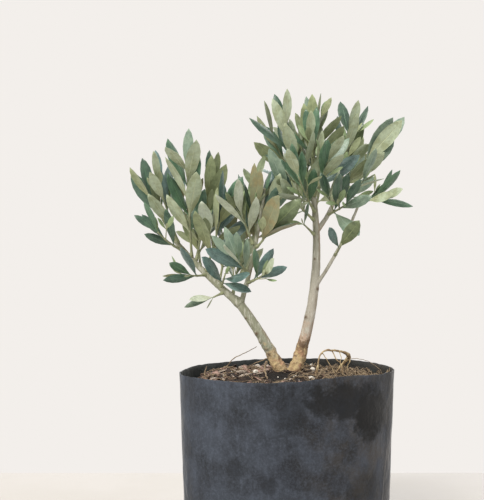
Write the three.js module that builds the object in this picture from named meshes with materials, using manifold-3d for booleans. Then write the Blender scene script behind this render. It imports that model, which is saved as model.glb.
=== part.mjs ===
// Potted olive tree, about 31 cm tall: one plant with two stems from one root, standing in a
// soft black nursery bag filled with bark compost.
// Units are millimetres, +Z is up and -Y faces the viewer.
// The origin is the centre of the bag's flat underside.

import * as THREE from 'three';
import { mergeVertices } from 'three/addons/utils/BufferGeometryUtils.js';
import Module from 'manifold-3d';

const wasm = await Module();
wasm.setup();
const { abs, asin, atan2, cos, exp, floor, hypot, max, min, PI, sin, sqrt } = Math;

// Clearance left between neighbouring solids
const GAP = 0.3;

// Nursery bag: an oval film tube on a flat bottom
const BAG_HALF_WIDTH = 71.3;
const BAG_HALF_DEPTH = 61.5;
const BAG_RIM = 125.2;
const BAG_FILM = 1.0;
const BAG_TAPER = 0.045; // how much narrower the foot is than the rim
const BAG_FOOT_ROUND = 9;
const BAG_SIDES = 36;
const BAG_FOLD = 0.8; // depth of the soft upright folds
const BAG_FOLDS = 7;
const BAG_BULGES = 3; // broader waves between the folds, half as deep
const FOLD_DRIFT = 0.02; // how far a fold wanders round the bag for each millimetre up, radians
const FOLD_FADE = 40; // height below which the folds smooth out to the round foot
const BAG_SEAM = 0.1; // how far the left end is drawn in to a pointed seam
const RIM_BAND = 30; // height over which the wave of the rim dies away downwards
const RIM_TILT = 1.3; // the rim is this much higher at the right end
const RIM_WAVE = 2.5; // height of the wave in the front of the rim
const RIM_WAVE_AT = -60; // its bearing, degrees
const RIM_WAVE_SPAN = 22;

// Compost inside the bag
const GROUND = 124; // level of the flat cut under both stems
const SOIL_WALL = 119.5; // level of the compost at the wall
const SOIL_PAD = 16; // radius of the level patch round the stems
const SOIL_CLEAR = 0.8; // the compost stands this far off the film
const SOIL_LUMP = 0.6;
const SOIL_RINGS = 5;

// Limbs
const LIMB_STEPS = 16;
const LIMB_SIDES = 10;
const LIMB_RINGS = 10;
const STEM_SINK = 5; // how far a stem is drawn below the ground before it is cut level
const FLARE = 0.34; // how much wider a stem is at the ground
const FLARE_REACH = 7; // height over which the flare dies away
const FLARE_LOBE = 0.1;

// Twigs and leaves
const TWIG_SIDES = 3;
const TWIG_STEPS = 3;
const TWIG_FOOT = 0.9;
const TWIG_TIP = 0.45;
const SIDE_TWIG_OPEN = 40; // angle from a twig to its side twig, degrees
const SIDE_TWIG_LENGTH = 0.62; // in leaf lengths
const LEAF_THICK = 0.6;
const LEAF_CLEAR = 1.9; // free space kept to limbs and to the leaves of other masses
const OWN_CLEAR = 1.3; // free space kept to the leaves of the same mass
const PETIOLE = 0.1; // share of a leaf's length that is stalk
const LEAF_LIFT = 0.22; // how strongly a leaf turns up to the light
const LEAF_TURN = 0.35; // how strongly a blade turns its face or its back to the front
const LEAF_END_ON = 0.78; // how far at most a leaf may point to the front or the rear, 1 is straight
const LEAF_OPEN_FOOT = 50; // angle from twig to leaf at the twig's foot, degrees
const LEAF_OPEN_TIP = 16; // and at its tip
const TRIES = 8; // places tried for a leaf before it is skipped, each time farther afield
const BARE_LONG = 0.28; // share of a twig below its first leaves, with three pairs or more
const BARE_SHORT = 0.6; // and with one or two pairs
const LEAF_SLIM = 0.24; // least width of a leaf over its length
const LEAF_SLIM_RANGE = 0.07;
const LEAF_BEND = 6; // degrees a leaf bends along its length
const LEAF_WIDEST = 0.55; // where the blade is widest, as a share of the blade
const LEAF_FOOT_FORM = 0.96; // below 1 makes the blade fuller towards its foot
const LEAF_TIP_FORM = 0.78; // and towards its tip
const LEAF_ROWS = [-0.025, 0.14, 0.5, 0.82, 1]; // where the faceted leaf has its rows of points
const LEAF_ROW_THICKNESS = [0, 0.9, LEAF_THICK, LEAF_THICK * 0.8, 0];
const YOUNG_LEAF = 0.86; // size of a side twig's leaves against its parent's

// How far the draws may stray: degrees to either side, or a share of the size
const SPIN_STRAY = 16;
const ROUND_STRAY = [20, 6]; // first try, and what each later try adds
const OPEN_STRAY = [12, 3];
const TWIST_STRAY = 34;
const BEND_STRAY = 18;
const LENGTH_STRAY = 0.16;
const WIDTH_STRAY = 0.14;

// Stems and boughs. A limb leaves its parent at the share "along" of the parent's length. It
// heads along a compass bearing (0 is +X, 90 is +Y), climbs at an angle, and lifts by so many
// degrees on its way. "foot" and "tip" are its radii.
const STEMS = [
  { name: 'trunk_right', at: [5.7, 0], heading: 0, climb: 70, lift: 29, length: 125, foot: 4.2, tip: 1.8 },
  { name: 'trunk_left', at: [-3.3, 0], heading: 180, climb: 64, lift: -11, length: 54, foot: 4.0, tip: 3.0 },
];
const BOUGHS = [
  {
    name: 'bough_left_outer', parent: 'trunk_left', along: 1.0,
    heading: 170, climb: 38, lift: 11, length: 61, foot: 2.7, tip: 1.6,
  },
  {
    name: 'bough_left_inner', parent: 'trunk_left', along: 0.97,
    heading: -50, climb: 66, lift: 13, length: 81, foot: 1.75, tip: 1.1,
  },
  {
    name: 'bough_right_side', parent: 'trunk_right', along: 0.46,
    heading: -22, climb: 54, lift: 16, length: 71, foot: 1.3, tip: 0.85,
  },
  {
    name: 'bough_right_inner', parent: 'trunk_right', along: 0.77,
    heading: 25, climb: 44, lift: 30, length: 32, foot: 1.7, tip: 1.2,
  },
];

// Masses of leaves, in groups that share a limb and a seed. Each row is one mass:
// name, along the limb, heading, climb, lift, stem length, leaf pairs, side twigs, leaf length
const GROUPS = [
  {
    limb: 'bough_left_outer', seed: 521,
    masses: [
      ['left_upright', 0.72, -95, 66, 6, 58, 5, 1, 31],
      ['left_end_low', 1.00, -150, 55, 5, 32, 2, 0, 32],
      ['left_end_high', 0.93, -120, 56, 8, 40, 4, 0, 30],
      ['left_low', 0.84, -135, 20, 20, 24, 3, 0, 23],
    ],
  },
  {
    limb: 'bough_left_outer', seed: 1051,
    masses: [
      ['left_upright_rear', 0.66, 30, 78, 0, 48, 5, 1, 32],
      ['left_middle', 0.50, -55, 62, 3, 40, 5, 1, 30],
      ['left_under', 0.48, -125, -5, 10, 14, 2, 0, 26],
      ['left_drop', 0.20, -145, -20, 0, 7, 1, 0, 20],
      ['left_fork', 0.10, 60, 70, 0, 22, 4, 1, 26],
    ],
  },
  {
    limb: 'bough_left_inner', seed: 1161,
    masses: [
      ['inner_left', 0.50, -137, 62, 0, 25, 4, 1, 30],
      ['inner_top_left', 0.80, 150, 77, 0, 12, 2, 0, 24],
      ['inner_top_right', 0.62, 15, 54, 10, 15, 3, 1, 27],
      ['inner_right', 0.50, -50, 31, 15, 10, 2, 0, 32],
    ],
  },
  {
    limb: 'bough_left_inner', seed: 681,
    masses: [
      ['inner_low_right', 0.20, -48, 15, 10, 12, 3, 0, 25],
      ['inner_low_left', 0.28, -118, 28, 10, 15, 3, 0, 25],
    ],
  },
  {
    limb: 'trunk_right', seed: 1361,
    masses: [
      ['right_up', 1.00, 60, 84, 0, 45, 6, 1, 30],
      ['right_up_left', 0.93, -155, 60, 12, 44, 5, 1, 30],
      ['right_left', 0.90, 178, 54, 10, 46, 5, 1, 30],
    ],
  },
  {
    limb: 'trunk_right', seed: 291,
    masses: [
      ['right_left_low', 0.82, -140, 32, 10, 34, 4, 1, 29],
      ['right_front', 0.95, -70, 36, 20, 27, 4, 1, 28],
    ],
  },
  {
    limb: 'bough_right_inner', seed: 641,
    masses: [
      ['right_high', 1.00, -44, 74, 4, 38, 5, 1, 30],
      ['right_far', 0.88, -26, 44, 8, 34, 4, 0, 33],
    ],
  },
  {
    limb: 'bough_right_inner', seed: 831,
    masses: [
      ['right_mid', 0.75, -55, 16, 15, 29, 3, 1, 28],
      ['right_lower_front', 0.45, -68, 10, 5, 23, 3, 1, 27],
    ],
  },
  {
    limb: 'bough_right_side', seed: 851,
    masses: [
      ['side_end', 0.93, -30, 5, 5, 11, 3, 0, 25],
      ['side_low', 0.38, -87, 11, 10, 15, 1, 0, 27],
    ],
  },
  {
    limb: 'bough_left_outer', seed: 1241,
    masses: [
      ['left_rear_outer', 0.58, 98, 43, 10, 40, 5, 2, 28],
      ['left_rear_fork', 0.30, 78, 48, 10, 44, 5, 2, 28],
    ],
  },
  {
    limb: 'bough_left_inner', seed: 831,
    masses: [
      ['inner_rear', 0.45, 84, 45, 10, 38, 4, 1, 28],
    ],
  },
  {
    limb: 'trunk_right', seed: 491,
    masses: [
      ['right_rear_left', 0.96, 106, 31, 15, 43, 5, 2, 28],
      ['right_rear', 0.88, 78, 26, 15, 38, 4, 2, 27],
    ],
  },
  {
    limb: 'trunk_right', seed: 1381,
    masses: [
      ['right_front_left', 0.87, -112, 24, 15, 38, 4, 1, 28],
    ],
  },
  {
    limb: 'bough_right_inner', seed: 321,
    masses: [
      ['right_rear_right', 0.93, 72, 31, 15, 40, 5, 2, 28],
    ],
  },
  {
    limb: 'bough_left_outer', seed: 1691,
    masses: [
      ['left_fork_front', 0.27, -78, 26, 10, 15, 3, 0, 25],
    ],
  },
  {
    limb: 'trunk_right', seed: 341,
    masses: [
      ['right_under_left', 0.74, -140, 34, 0, 10, 1, 0, 22],
    ],
  },
];

// Surface roots: points of the arched root that a curve is drawn through, and its thickness
const ROOT_ARCH = [
  [18.5, -12, 119], [20.4, -11.5, 128], [22.6, -9, 137], [30.5, -3, 138.5],
  [39.5, 5, 136.2], [43.6, 11, 132.5], [40, 14.5, 127.6], [33.5, 18, 119],
];
const ROOT_ARCH_FOOT = 0.8;
const ROOT_ARCH_SHOULDER = 1.75;
const ROOT_ARCH_STEPS = 22;
const ROOT_SIDES = 6;
const DRY_ROOT = { at: [-42, 41, 119.6], heading: -4, climb: 14, lift: 16, length: 28, foot: 0.8, tip: 0.5 };

// Colours, roughness and metalness
const BAG_LOOK = { color: 0x2a2d33, roughness: 0.45, metalness: 0 };
const SOIL_LOOK = { color: 0x5c4636, roughness: 0.95, metalness: 0 };
const BARK_LOOK = { color: 0x8d8671, roughness: 0.85, metalness: 0 };
const ROOT_LOOK = { color: 0xb08a5e, roughness: 0.85, metalness: 0 };
const LEAF_LOOKS = [0x5f7a66, 0x6f8468, 0x7d8a63, 0x57746a].map((color) => (
  { color, roughness: 0.55, metalness: 0 }
));

function radians(degrees) {
  return (degrees * PI) / 180;
}

function smoothstep(low, high, value) {
  const t = min(max((value - low) / (high - low), 0), 1);
  return t * t * (3 - 2 * t);
}

// Unit vector for a bearing and a climb, in degrees
function aim(heading, climb) {
  const h = radians(heading);
  const c = radians(climb);
  return new THREE.Vector3(cos(h) * cos(c), sin(h) * cos(c), sin(c));
}

// Numbers drawn from a seed, the same on every run
class Draws {
  constructor(seed) {
    this.state = (seed * 7919 + 104729) % 2147483647;
    for (let i = 0; i < 3; i += 1) this.next();
  }

  next() {
    this.state = (this.state * 48271) % 2147483647;
    return this.state / 2147483647;
  }

  spread(half) {
    return (this.next() * 2 - 1) * half;
  }
}

// A tapering limb or twig: an arc in the upright plane of its heading
class Limb {
  constructor({ start, heading, climb, lift, length, foot, tip }) {
    Object.assign(this, { heading, climb, lift, length, foot, tip });
    this.points = [start];
    for (let i = 0; i < LIMB_STEPS; i += 1) {
      const step = this.direction((i + 0.5) / LIMB_STEPS).multiplyScalar(length / LIMB_STEPS);
      this.points.push(this.points[i].clone().add(step));
    }
  }

  direction(t) {
    return aim(this.heading, this.climb + this.lift * t);
  }

  point(t) {
    const place = min(max(t, 0), 1) * LIMB_STEPS;
    const i = min(floor(place), LIMB_STEPS - 1);
    return this.points[i].clone().lerp(this.points[i + 1], place - i);
  }

  radius(t) {
    return this.foot + (this.tip - this.foot) * t;
  }

  // Two unit vectors square to the limb: level to its left, and in its own plane
  frame(t) {
    const h = radians(this.heading);
    const level = new THREE.Vector3(-sin(h), cos(h), 0);
    return { level, over: this.direction(t).cross(level) };
  }

  // Points along the middle with the radius there, for keeping clear of
  samples() {
    const count = max(2, floor(this.length / 1.5));
    return Array.from({ length: count + 1 }, (_, i) => (
      { point: this.point(i / count), radius: this.radius(i / count) }
    ));
  }
}

// Start of a twig of the given radius whose root stays just clear of its limb
function seat(limb, along, direction, radius) {
  const cosine = limb.direction(along).dot(direction);
  const sine = sqrt(max(1 - cosine * cosine, 1e-4));
  const reach = along >= 1
    ? (GAP + radius * sine) / cosine
    : (limb.radius(along) + GAP + radius * abs(cosine)) / sine;
  return limb.point(along).addScaledVector(direction, reach);
}

// One olive leaf: a lance shape that bends along its length. Its root is at "base".
class Leaf {
  constructor(base, direction, normal, length, width, bend) {
    Object.assign(this, { base, direction, normal, length, width, bend: radians(bend) });
    this.side = direction.clone().cross(normal);
  }

  at(s) {
    const angle = this.bend * s;
    return this.base.clone()
      .addScaledVector(this.direction, (this.length * sin(angle)) / this.bend)
      .addScaledVector(this.normal, (this.length * (cos(angle) - 1)) / this.bend);
  }

  normalAt(s) {
    const angle = this.bend * s;
    return this.normal.clone().multiplyScalar(cos(angle)).addScaledVector(this.direction, sin(angle));
  }

  halfWidth(s) {
    const x = (s - PETIOLE) / (1 - PETIOLE);
    if (x <= 0 || x >= 1) return 0;
    const rise = (x / LEAF_WIDEST) ** LEAF_FOOT_FORM;
    const fall = ((1 - x) / (1 - LEAF_WIDEST)) ** LEAF_TIP_FORM;
    return (this.width / 2) * rise * fall;
  }

  // Rows of points over the blade, from near its root to its tip
  samples() {
    const rows = [0.22, 0.33, 0.44, 0.55, 0.66, 0.77, 0.88, 0.98];
    return rows.map((s) => [0, 0.5, -0.5, 0.95, -0.95].map((share) => (
      { point: this.at(s).addScaledVector(this.side, this.halfWidth(s) * share), radius: LEAF_THICK / 2 }
    )));
  }
}

// True where every sample stays farther than "extra" from everything in "taken"
function isClear(samples, taken, extra) {
  return samples.every(({ point }) => taken.every((other) => (
    point.distanceToSquared(other.point) > (other.radius + extra) ** 2
  )));
}

// A mass of leaves: twigs and leaves that grow from one stem by the seeded rule
class Mass {
  constructor(limb, [name, along, heading, climb, lift, length, pairs, sideTwigs, leafLength], seed) {
    Object.assign(this, { name, seed, pairs, sideTwigs, leafLength });
    const start = seat(limb, along, aim(heading, climb), TWIG_FOOT);
    this.stem = new Limb({ start, heading, climb, lift, length, foot: TWIG_FOOT, tip: TWIG_TIP });
    this.reach = length + 54;
    this.twigs = [this.stem];
    this.leaves = [];
  }

  // Bears twigs and leaves clear of the limbs and the other masses' stems and leaves
  leafOut(taken) {
    this.taken = taken.filter(({ point, owner }) => (
      owner !== this && point.distanceTo(this.stem.points[0]) < this.reach
    ));
    this.draws = new Draws(this.seed);
    const roll = 90 * this.draws.next();
    this.slimness = LEAF_SLIM + LEAF_SLIM_RANGE * this.draws.next();
    this.own = this.stem.samples().slice(2).map(({ point }) => ({ point, radius: 0.4 }));
    this.bear(this.stem, this.pairs, this.leafLength, roll, this.sideTwigs);
  }

  // Pairs of leaves along a twig, each pair turned a quarter from the last, with side twigs
  bear(twig, pairs, leafLength, roll, sideTwigs) {
    const bare = pairs > 2 ? BARE_LONG : BARE_SHORT;
    for (let k = 0; k < pairs; k += 1) {
      const t = 1 - ((1 - bare) * (pairs - 1 - k)) / max(pairs - 1, 1);
      const spin = roll + 90 * k + this.draws.spread(SPIN_STRAY);
      const size = leafLength * (0.82 + 0.3 * sin(PI * (0.25 + 0.6 * t)));
      this.tryLeaf(twig, t, spin, size);
      this.tryLeaf(twig, t, spin + 180, size);
      if (k < sideTwigs) this.trySideTwig(twig, t, spin, k, leafLength);
    }
  }

  // Direction that leaves the twig at an angle "open" round to "spin", turned up a little
  branchOff(twig, t, spin, open) {
    const { level, over } = twig.frame(t);
    return twig.direction(t).multiplyScalar(cos(open))
      .addScaledVector(level, cos(spin) * sin(open))
      .addScaledVector(over, sin(spin) * sin(open))
      .add(new THREE.Vector3(0, 0, LEAF_LIFT))
      .normalize();
  }

  tryLeaf(twig, t, spin, size) {
    const axis = twig.direction(t);
    const open = LEAF_OPEN_FOOT + (LEAF_OPEN_TIP - LEAF_OPEN_FOOT) * t;
    for (let i = 0; i < TRIES; i += 1) {
      const [roundStray, openStray] = [ROUND_STRAY, OPEN_STRAY].map(([first, more]) => first + more * i);
      const round = radians(spin + this.draws.spread(roundStray));
      const direction = this.branchOff(twig, t, round, radians(open + this.draws.spread(openStray)));
      const face = axis.clone().addScaledVector(direction, -axis.dot(direction)).normalize();
      const twist = radians(this.draws.spread(TWIST_STRAY));
      const normal = face.clone().multiplyScalar(cos(twist))
        .addScaledVector(direction.clone().cross(face), sin(twist));
      const front = new THREE.Vector3(0, -1, 0).projectOnPlane(direction).normalize();
      normal.addScaledVector(front, normal.dot(front) < 0 ? -LEAF_TURN : LEAF_TURN).normalize();
      const length = size * (1 + this.draws.spread(LENGTH_STRAY));
      const width = length * this.slimness * (1 + this.draws.spread(WIDTH_STRAY));
      const bend = LEAF_BEND + this.draws.spread(BEND_STRAY);
      const leaf = new Leaf(twig.point(t), direction, normal, length, width, bend);
      const samples = leaf.samples();
      const outer = samples.slice(1).flat();
      const isSideOn = abs(direction.y) < LEAF_END_ON;
      const isFree = isClear(samples.flat(), this.taken, LEAF_CLEAR) && isClear(outer, this.own, OWN_CLEAR);
      if (isSideOn && isFree) {
        this.own.push(...outer);
        this.leaves.push(leaf);
        return;
      }
    }
  }

  trySideTwig(twig, t, spin, k, leafLength) {
    const round = radians(spin + 90 + this.draws.spread(20) + 180 * (k % 2));
    const direction = this.branchOff(twig, t, round, radians(SIDE_TWIG_OPEN));
    const side = new Limb({
      start: twig.point(t),
      heading: (atan2(direction.y, direction.x) * 180) / PI,
      climb: (asin(min(max(direction.z, -1), 1)) * 180) / PI,
      lift: 8,
      length: leafLength * SIDE_TWIG_LENGTH,
      foot: TWIG_FOOT * 0.7,
      tip: TWIG_TIP * 0.9,
    });
    const samples = side.samples();
    const outer = samples.slice(3);
    if (isClear(samples, this.taken, LEAF_CLEAR) && isClear(outer, this.own, OWN_CLEAR * 0.6)) {
      this.own.push(...outer.map(({ point }) => ({ point, radius: 0.3 })));
      this.twigs.push(side);
      this.bear(side, 2, leafLength * YOUNG_LEAF, spin + 45, 0);
    }
  }

  // What the leaves and side twigs take up
  samples() {
    return [
      ...this.leaves.flatMap((leaf) => leaf.samples().flat()),
      ...this.twigs.slice(1).flatMap((twig) => twig.samples()),
    ];
  }
}

// Moves every point of a geometry to where "place" puts it
function reshape(geometry, place) {
  const { position } = geometry.attributes;
  const point = new THREE.Vector3();
  for (let i = 0; i < position.count; i += 1) {
    point.fromBufferAttribute(position, i);
    const moved = place(point);
    position.setXYZ(i, moved.x, moved.y, moved.z);
  }
  return geometry;
}

// Closed solid of a geometry, with its shared points merged
function solidOf(geometry) {
  geometry.deleteAttribute('normal');
  geometry.deleteAttribute('uv');
  const merged = mergeVertices(geometry, 1e-4);
  return new wasm.Manifold(new wasm.Mesh({
    numProp: 3,
    vertProperties: new Float32Array(merged.attributes.position.array),
    triVerts: new Uint32Array(merged.index.array),
  }));
}

// Named mesh of a solid
function meshOf(name, solid, look) {
  const { numProp, vertProperties, triVerts } = solid.getMesh();
  const geometry = new THREE.BufferGeometry();
  const points = [];
  for (let i = 0; i < vertProperties.length; i += numProp) {
    points.push(vertProperties[i], vertProperties[i + 1], vertProperties[i + 2]);
  }
  geometry.setAttribute('position', new THREE.Float32BufferAttribute(points, 3));
  geometry.setIndex(Array.from(triVerts));
  geometry.computeVertexNormals();
  const mesh = new THREE.Mesh(geometry, new THREE.MeshStandardMaterial(look));
  mesh.name = name;
  return mesh;
}

// Round solid along a limb. "swell" gives a radius that is added, and "back" and "ahead" are
// lengths added at its foot and its tip.
function limbSolid(limb, { sides, steps, back = 0, ahead = 0, swell = () => 0 }) {
  const cylinder = new THREE.CylinderGeometry(1, 1, 1, sides, steps);
  return solidOf(reshape(cylinder, ({ x, y, z }) => {
    const t = y + 0.5;
    const { level, over } = limb.frame(t);
    const radius = limb.radius(t) + swell(t * limb.length, atan2(z, x));
    const extra = (y >= 0.5 ? ahead : 0) - (y <= -0.5 ? back : 0);
    return limb.point(t)
      .addScaledVector(limb.direction(t), extra)
      .addScaledVector(over, x * radius)
      .addScaledVector(level, z * radius);
  }));
}

// The same limb with a clear gap round it, to cut its neighbours with
function limbCutter(limb) {
  return limbSolid(limb, { sides: LIMB_SIDES, steps: LIMB_RINGS, back: GAP, ahead: GAP, swell: () => GAP });
}

// Swelling of a stem at the ground, in a few lobes where the main roots leave
function flare(foot) {
  return (distance, angle) => (
    foot * exp(-distance / FLARE_REACH) * (FLARE + FLARE_LOBE * sin(3 * angle + 1))
  );
}

// Stem with its true root flare and a flat cut at ground level
function stemSolid(stem) {
  const whole = limbSolid(stem, {
    sides: LIMB_SIDES, steps: LIMB_RINGS, back: STEM_SINK, swell: flare(stem.foot),
  });
  return whole.trimByPlane([0, 0, 1], GROUND);
}

// Leaf solid of 24 faces: a closed ball of four columns and four rows, drawn out to the leaf
function leafSolid(leaf) {
  const ball = new THREE.SphereGeometry(1, 4, 4);
  return solidOf(reshape(ball, ({ x, y, z }) => {
    const row = Math.round((1 - Math.acos(min(max(y, -1), 1)) / PI) * (LEAF_ROWS.length - 1));
    const s = LEAF_ROWS[row];
    const round = hypot(x, z) || 1;
    return leaf.at(s)
      .addScaledVector(leaf.side, (x / round) * leaf.halfWidth(s))
      .addScaledVector(leaf.normalAt(s), (z / round) * (LEAF_ROW_THICKNESS[row] / 2));
  }));
}

function massSolid(mass) {
  const twigs = mass.twigs.map((twig) => limbSolid(twig, { sides: TWIG_SIDES, steps: TWIG_STEPS }));
  return wasm.Manifold.union([...twigs, ...mass.leaves.map(leafSolid)]);
}

// Outward shift of the bag's wall at a bearing and a height: soft folds that fade at the foot
function fold(bearing, z) {
  const folds = sin(BAG_FOLDS * bearing + FOLD_DRIFT * z);
  const bulges = sin(BAG_BULGES * bearing - FOLD_DRIFT * z);
  return BAG_FOLD * smoothstep(0, FOLD_FADE, z) * (folds + bulges / 2);
}

// Height that the waving rim adds at a bearing
function rimLift(bearing) {
  const off = ((bearing * 180) / PI - RIM_WAVE_AT) / RIM_WAVE_SPAN;
  return RIM_TILT * cos(bearing) + RIM_WAVE * exp(-off * off);
}

// Takes a point of a round tub of radius BAG_HALF_WIDTH to the bag's real oval outline
function toBag({ x, y, z }, followsRim) {
  const radius = hypot(x, y);
  const bearing = radius > 0 ? atan2(y, x) : 0;
  const share = radius / BAG_HALF_WIDTH;
  const narrow = 1 - BAG_TAPER * (1 - z / BAG_RIM);
  const seam = 1 - BAG_SEAM * smoothstep(0.2, 1, -cos(bearing)) * abs(sin(bearing));
  const wall = radius + fold(bearing, z) * share * share;
  const lift = followsRim ? rimLift(bearing) * smoothstep(BAG_RIM - RIM_BAND, BAG_RIM, z) * share : 0;
  return new THREE.Vector3(
    wall * narrow * cos(bearing),
    wall * narrow * seam * sin(bearing) * (BAG_HALF_DEPTH / BAG_HALF_WIDTH),
    z + lift,
  );
}

// Turned solid about +Z from a profile of (radius, height) points, bottom first
function turned(profile, place) {
  const lathe = new THREE.LatheGeometry(profile.map(([r, z]) => new THREE.Vector2(r, z)), BAG_SIDES);
  return solidOf(reshape(lathe, ({ x, y, z }) => place(new THREE.Vector3(x, -z, y))));
}

// Profile points round the foot of the bag, for a wall that lies "inset" inside the outer face
function footRound(inset, steps) {
  const outer = BAG_HALF_WIDTH - inset;
  const round = BAG_FOOT_ROUND - inset;
  return Array.from({ length: steps + 1 }, (_, i) => {
    const angle = (PI / 2) * (i / steps);
    return [outer - round + round * sin(angle), BAG_FOOT_ROUND - round * cos(angle)];
  });
}

function bagSolid() {
  const wall = (inset, shares) => shares.map((share) => [BAG_HALF_WIDTH - inset, BAG_RIM * share]);
  const outside = [[0, 0], ...footRound(0, 3), ...wall(0, [0.25, 0.5, 0.75, 0.9, 1])];
  const inside = [[0, BAG_FILM], ...footRound(BAG_FILM, 3), ...wall(BAG_FILM, [0.5, 0.75, 0.9, 1])];
  return turned([...outside, ...inside.reverse()], (point) => toBag(point, true));
}

// Small heaps and hollows in the top of the compost
function lump(x, y) {
  const waves = sin(x / 5.1 + 1) * sin(y / 6.3) + 0.7 * sin(x / 2.9 - y / 4.1) + 0.6 * sin(y / 3.3 + 2);
  return SOIL_LUMP * waves * smoothstep(SOIL_PAD, SOIL_PAD + 8, hypot(x, y));
}

// Level of the compost at a share of the way from the middle to the wall
function soilLevel(radius, wall) {
  return GROUND - GAP - (GROUND - SOIL_WALL) * smoothstep(SOIL_PAD, wall, radius);
}

function soilSolid() {
  const inset = BAG_FILM + SOIL_CLEAR;
  const wall = BAG_HALF_WIDTH - inset;
  const heights = [0.5, 0.75, 0.9].map((share) => [wall, BAG_RIM * share]);
  const rings = Array.from({ length: SOIL_RINGS + 1 }, (_, i) => wall + (SOIL_PAD - wall) * (i / SOIL_RINGS));
  const top = [...rings, 0].map((radius) => [radius, soilLevel(radius, wall)]);
  const side = [[0, inset], ...footRound(inset, 3), ...heights];
  return turned([...side, ...top], (point) => {
    const moved = toBag(point, false);
    const isTop = point.z > BAG_RIM * 0.91;
    return isTop ? moved.setZ(moved.z + lump(moved.x, moved.y)) : moved;
  });
}

// Root that arches out of the compost, thickest at its far shoulder
function archSolid() {
  const curve = new THREE.CatmullRomCurve3(ROOT_ARCH.map((point) => new THREE.Vector3(...point)));
  const frames = curve.computeFrenetFrames(ROOT_ARCH_STEPS);
  const cylinder = new THREE.CylinderGeometry(1, 1, 1, ROOT_SIDES, ROOT_ARCH_STEPS);
  return solidOf(reshape(cylinder, ({ x, y, z }) => {
    const t = y + 0.5;
    const ring = Math.round(t * ROOT_ARCH_STEPS);
    const radius = ROOT_ARCH_FOOT + (ROOT_ARCH_SHOULDER - ROOT_ARCH_FOOT) * sin(PI * t ** 1.6) ** 2;
    return curve.getPointAt(t)
      .addScaledVector(frames.binormals[ring], x * radius)
      .addScaledVector(frames.normals[ring], z * radius);
  }));
}

// Stems and boughs, each cut clear of the limbs it springs from
function growLimbs() {
  const limbs = {};
  for (const stem of STEMS) {
    limbs[stem.name] = new Limb({ ...stem, start: new THREE.Vector3(...stem.at, GROUND) });
  }
  for (const bough of BOUGHS) {
    limbs[bough.name] = new Limb({ ...bough, start: limbs[bough.parent].point(bough.along) });
  }
  return limbs;
}

function limbMeshes(limbs) {
  const right = stemSolid(limbs.trunk_right);
  const nearRight = limbSolid(limbs.trunk_right, {
    sides: LIMB_SIDES,
    steps: LIMB_RINGS,
    back: STEM_SINK,
    swell: (distance, angle) => GAP + flare(limbs.trunk_right.foot)(distance, angle),
  });
  const left = stemSolid(limbs.trunk_left).subtract(nearRight);
  const meshes = [meshOf('trunk_right', right, BARK_LOOK), meshOf('trunk_left', left, BARK_LOOK)];
  for (const { name, parent } of BOUGHS) {
    const whole = limbSolid(limbs[name], { sides: LIMB_SIDES, steps: LIMB_RINGS });
    const neighbours = [parent];
    if (name === 'bough_left_inner') neighbours.push('bough_left_outer');
    const cut = neighbours.reduce((solid, other) => solid.subtract(limbCutter(limbs[other])), whole);
    meshes.push(meshOf(name, cut, BARK_LOOK));
  }
  return meshes;
}

// All stems are placed first, then each mass in turn fills the free space round its own
function growMasses(limbs) {
  const masses = GROUPS.flatMap((part) => (
    part.masses.map((row, i) => new Mass(limbs[part.limb], row, part.seed + i))
  ));
  const taken = Object.values(limbs).flatMap((limb) => limb.samples());
  for (const mass of masses) {
    taken.push(...mass.stem.samples().map((sample) => ({ ...sample, owner: mass })));
  }
  for (const mass of masses) {
    mass.leafOut(taken);
    taken.push(...mass.samples());
  }
  return masses;
}

function massMeshes(limbs) {
  return growMasses(limbs).map((mass, i) => (
    meshOf(mass.name, massSolid(mass), LEAF_LOOKS[i % LEAF_LOOKS.length])
  ));
}

function potMeshes() {
  const soil = soilSolid();
  const coveredSoil = soil.translate([0, 0, GAP]);
  const dryRoot = new Limb({ ...DRY_ROOT, start: new THREE.Vector3(...DRY_ROOT.at) });
  const dry = limbSolid(dryRoot, { sides: ROOT_SIDES, steps: TWIG_STEPS });
  return [
    meshOf('nursery_bag', bagSolid(), BAG_LOOK),
    meshOf('potting_soil', soil, SOIL_LOOK),
    meshOf('surface_root_arch', archSolid().subtract(coveredSoil), ROOT_LOOK),
    meshOf('surface_root_dry', dry.subtract(coveredSoil), ROOT_LOOK),
  ];
}

const limbs = growLimbs();
const group = new THREE.Group();
group.add(...potMeshes(), ...limbMeshes(limbs), ...massMeshes(limbs));

export default group;
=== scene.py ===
"""Potted olive tree: a young plant with two stems in a soft black nursery bag of bark compost.

The plant grows by one seeded rule: stems, boughs, sprays of twigs and opposite leaves. Lengths
are millimetres while it grows, and the finished meshes are in metres.
"""

import logging
import math
from collections.abc import Callable, Iterable, Sequence
from dataclasses import dataclass, field
from enum import Enum, IntEnum
from typing import Any

import bmesh
import bpy
import numpy as np
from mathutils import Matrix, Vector, noise


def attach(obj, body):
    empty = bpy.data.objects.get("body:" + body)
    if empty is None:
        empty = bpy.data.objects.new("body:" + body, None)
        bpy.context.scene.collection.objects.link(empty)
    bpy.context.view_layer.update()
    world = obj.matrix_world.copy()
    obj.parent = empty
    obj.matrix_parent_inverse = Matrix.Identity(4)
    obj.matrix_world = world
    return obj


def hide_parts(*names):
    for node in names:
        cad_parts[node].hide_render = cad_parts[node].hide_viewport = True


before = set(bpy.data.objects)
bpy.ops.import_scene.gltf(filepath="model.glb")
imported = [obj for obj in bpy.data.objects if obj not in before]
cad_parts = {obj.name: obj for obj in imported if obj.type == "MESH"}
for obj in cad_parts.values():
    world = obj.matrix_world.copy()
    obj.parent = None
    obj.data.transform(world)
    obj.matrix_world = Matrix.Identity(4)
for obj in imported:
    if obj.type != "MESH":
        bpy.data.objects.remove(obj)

log = logging.getLogger("olive_tree")
Array = np.ndarray

MM = 0.001
BODY = "root"
PHOTO_HEIGHT = 500
FULL_TURN = 2 * math.pi

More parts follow.
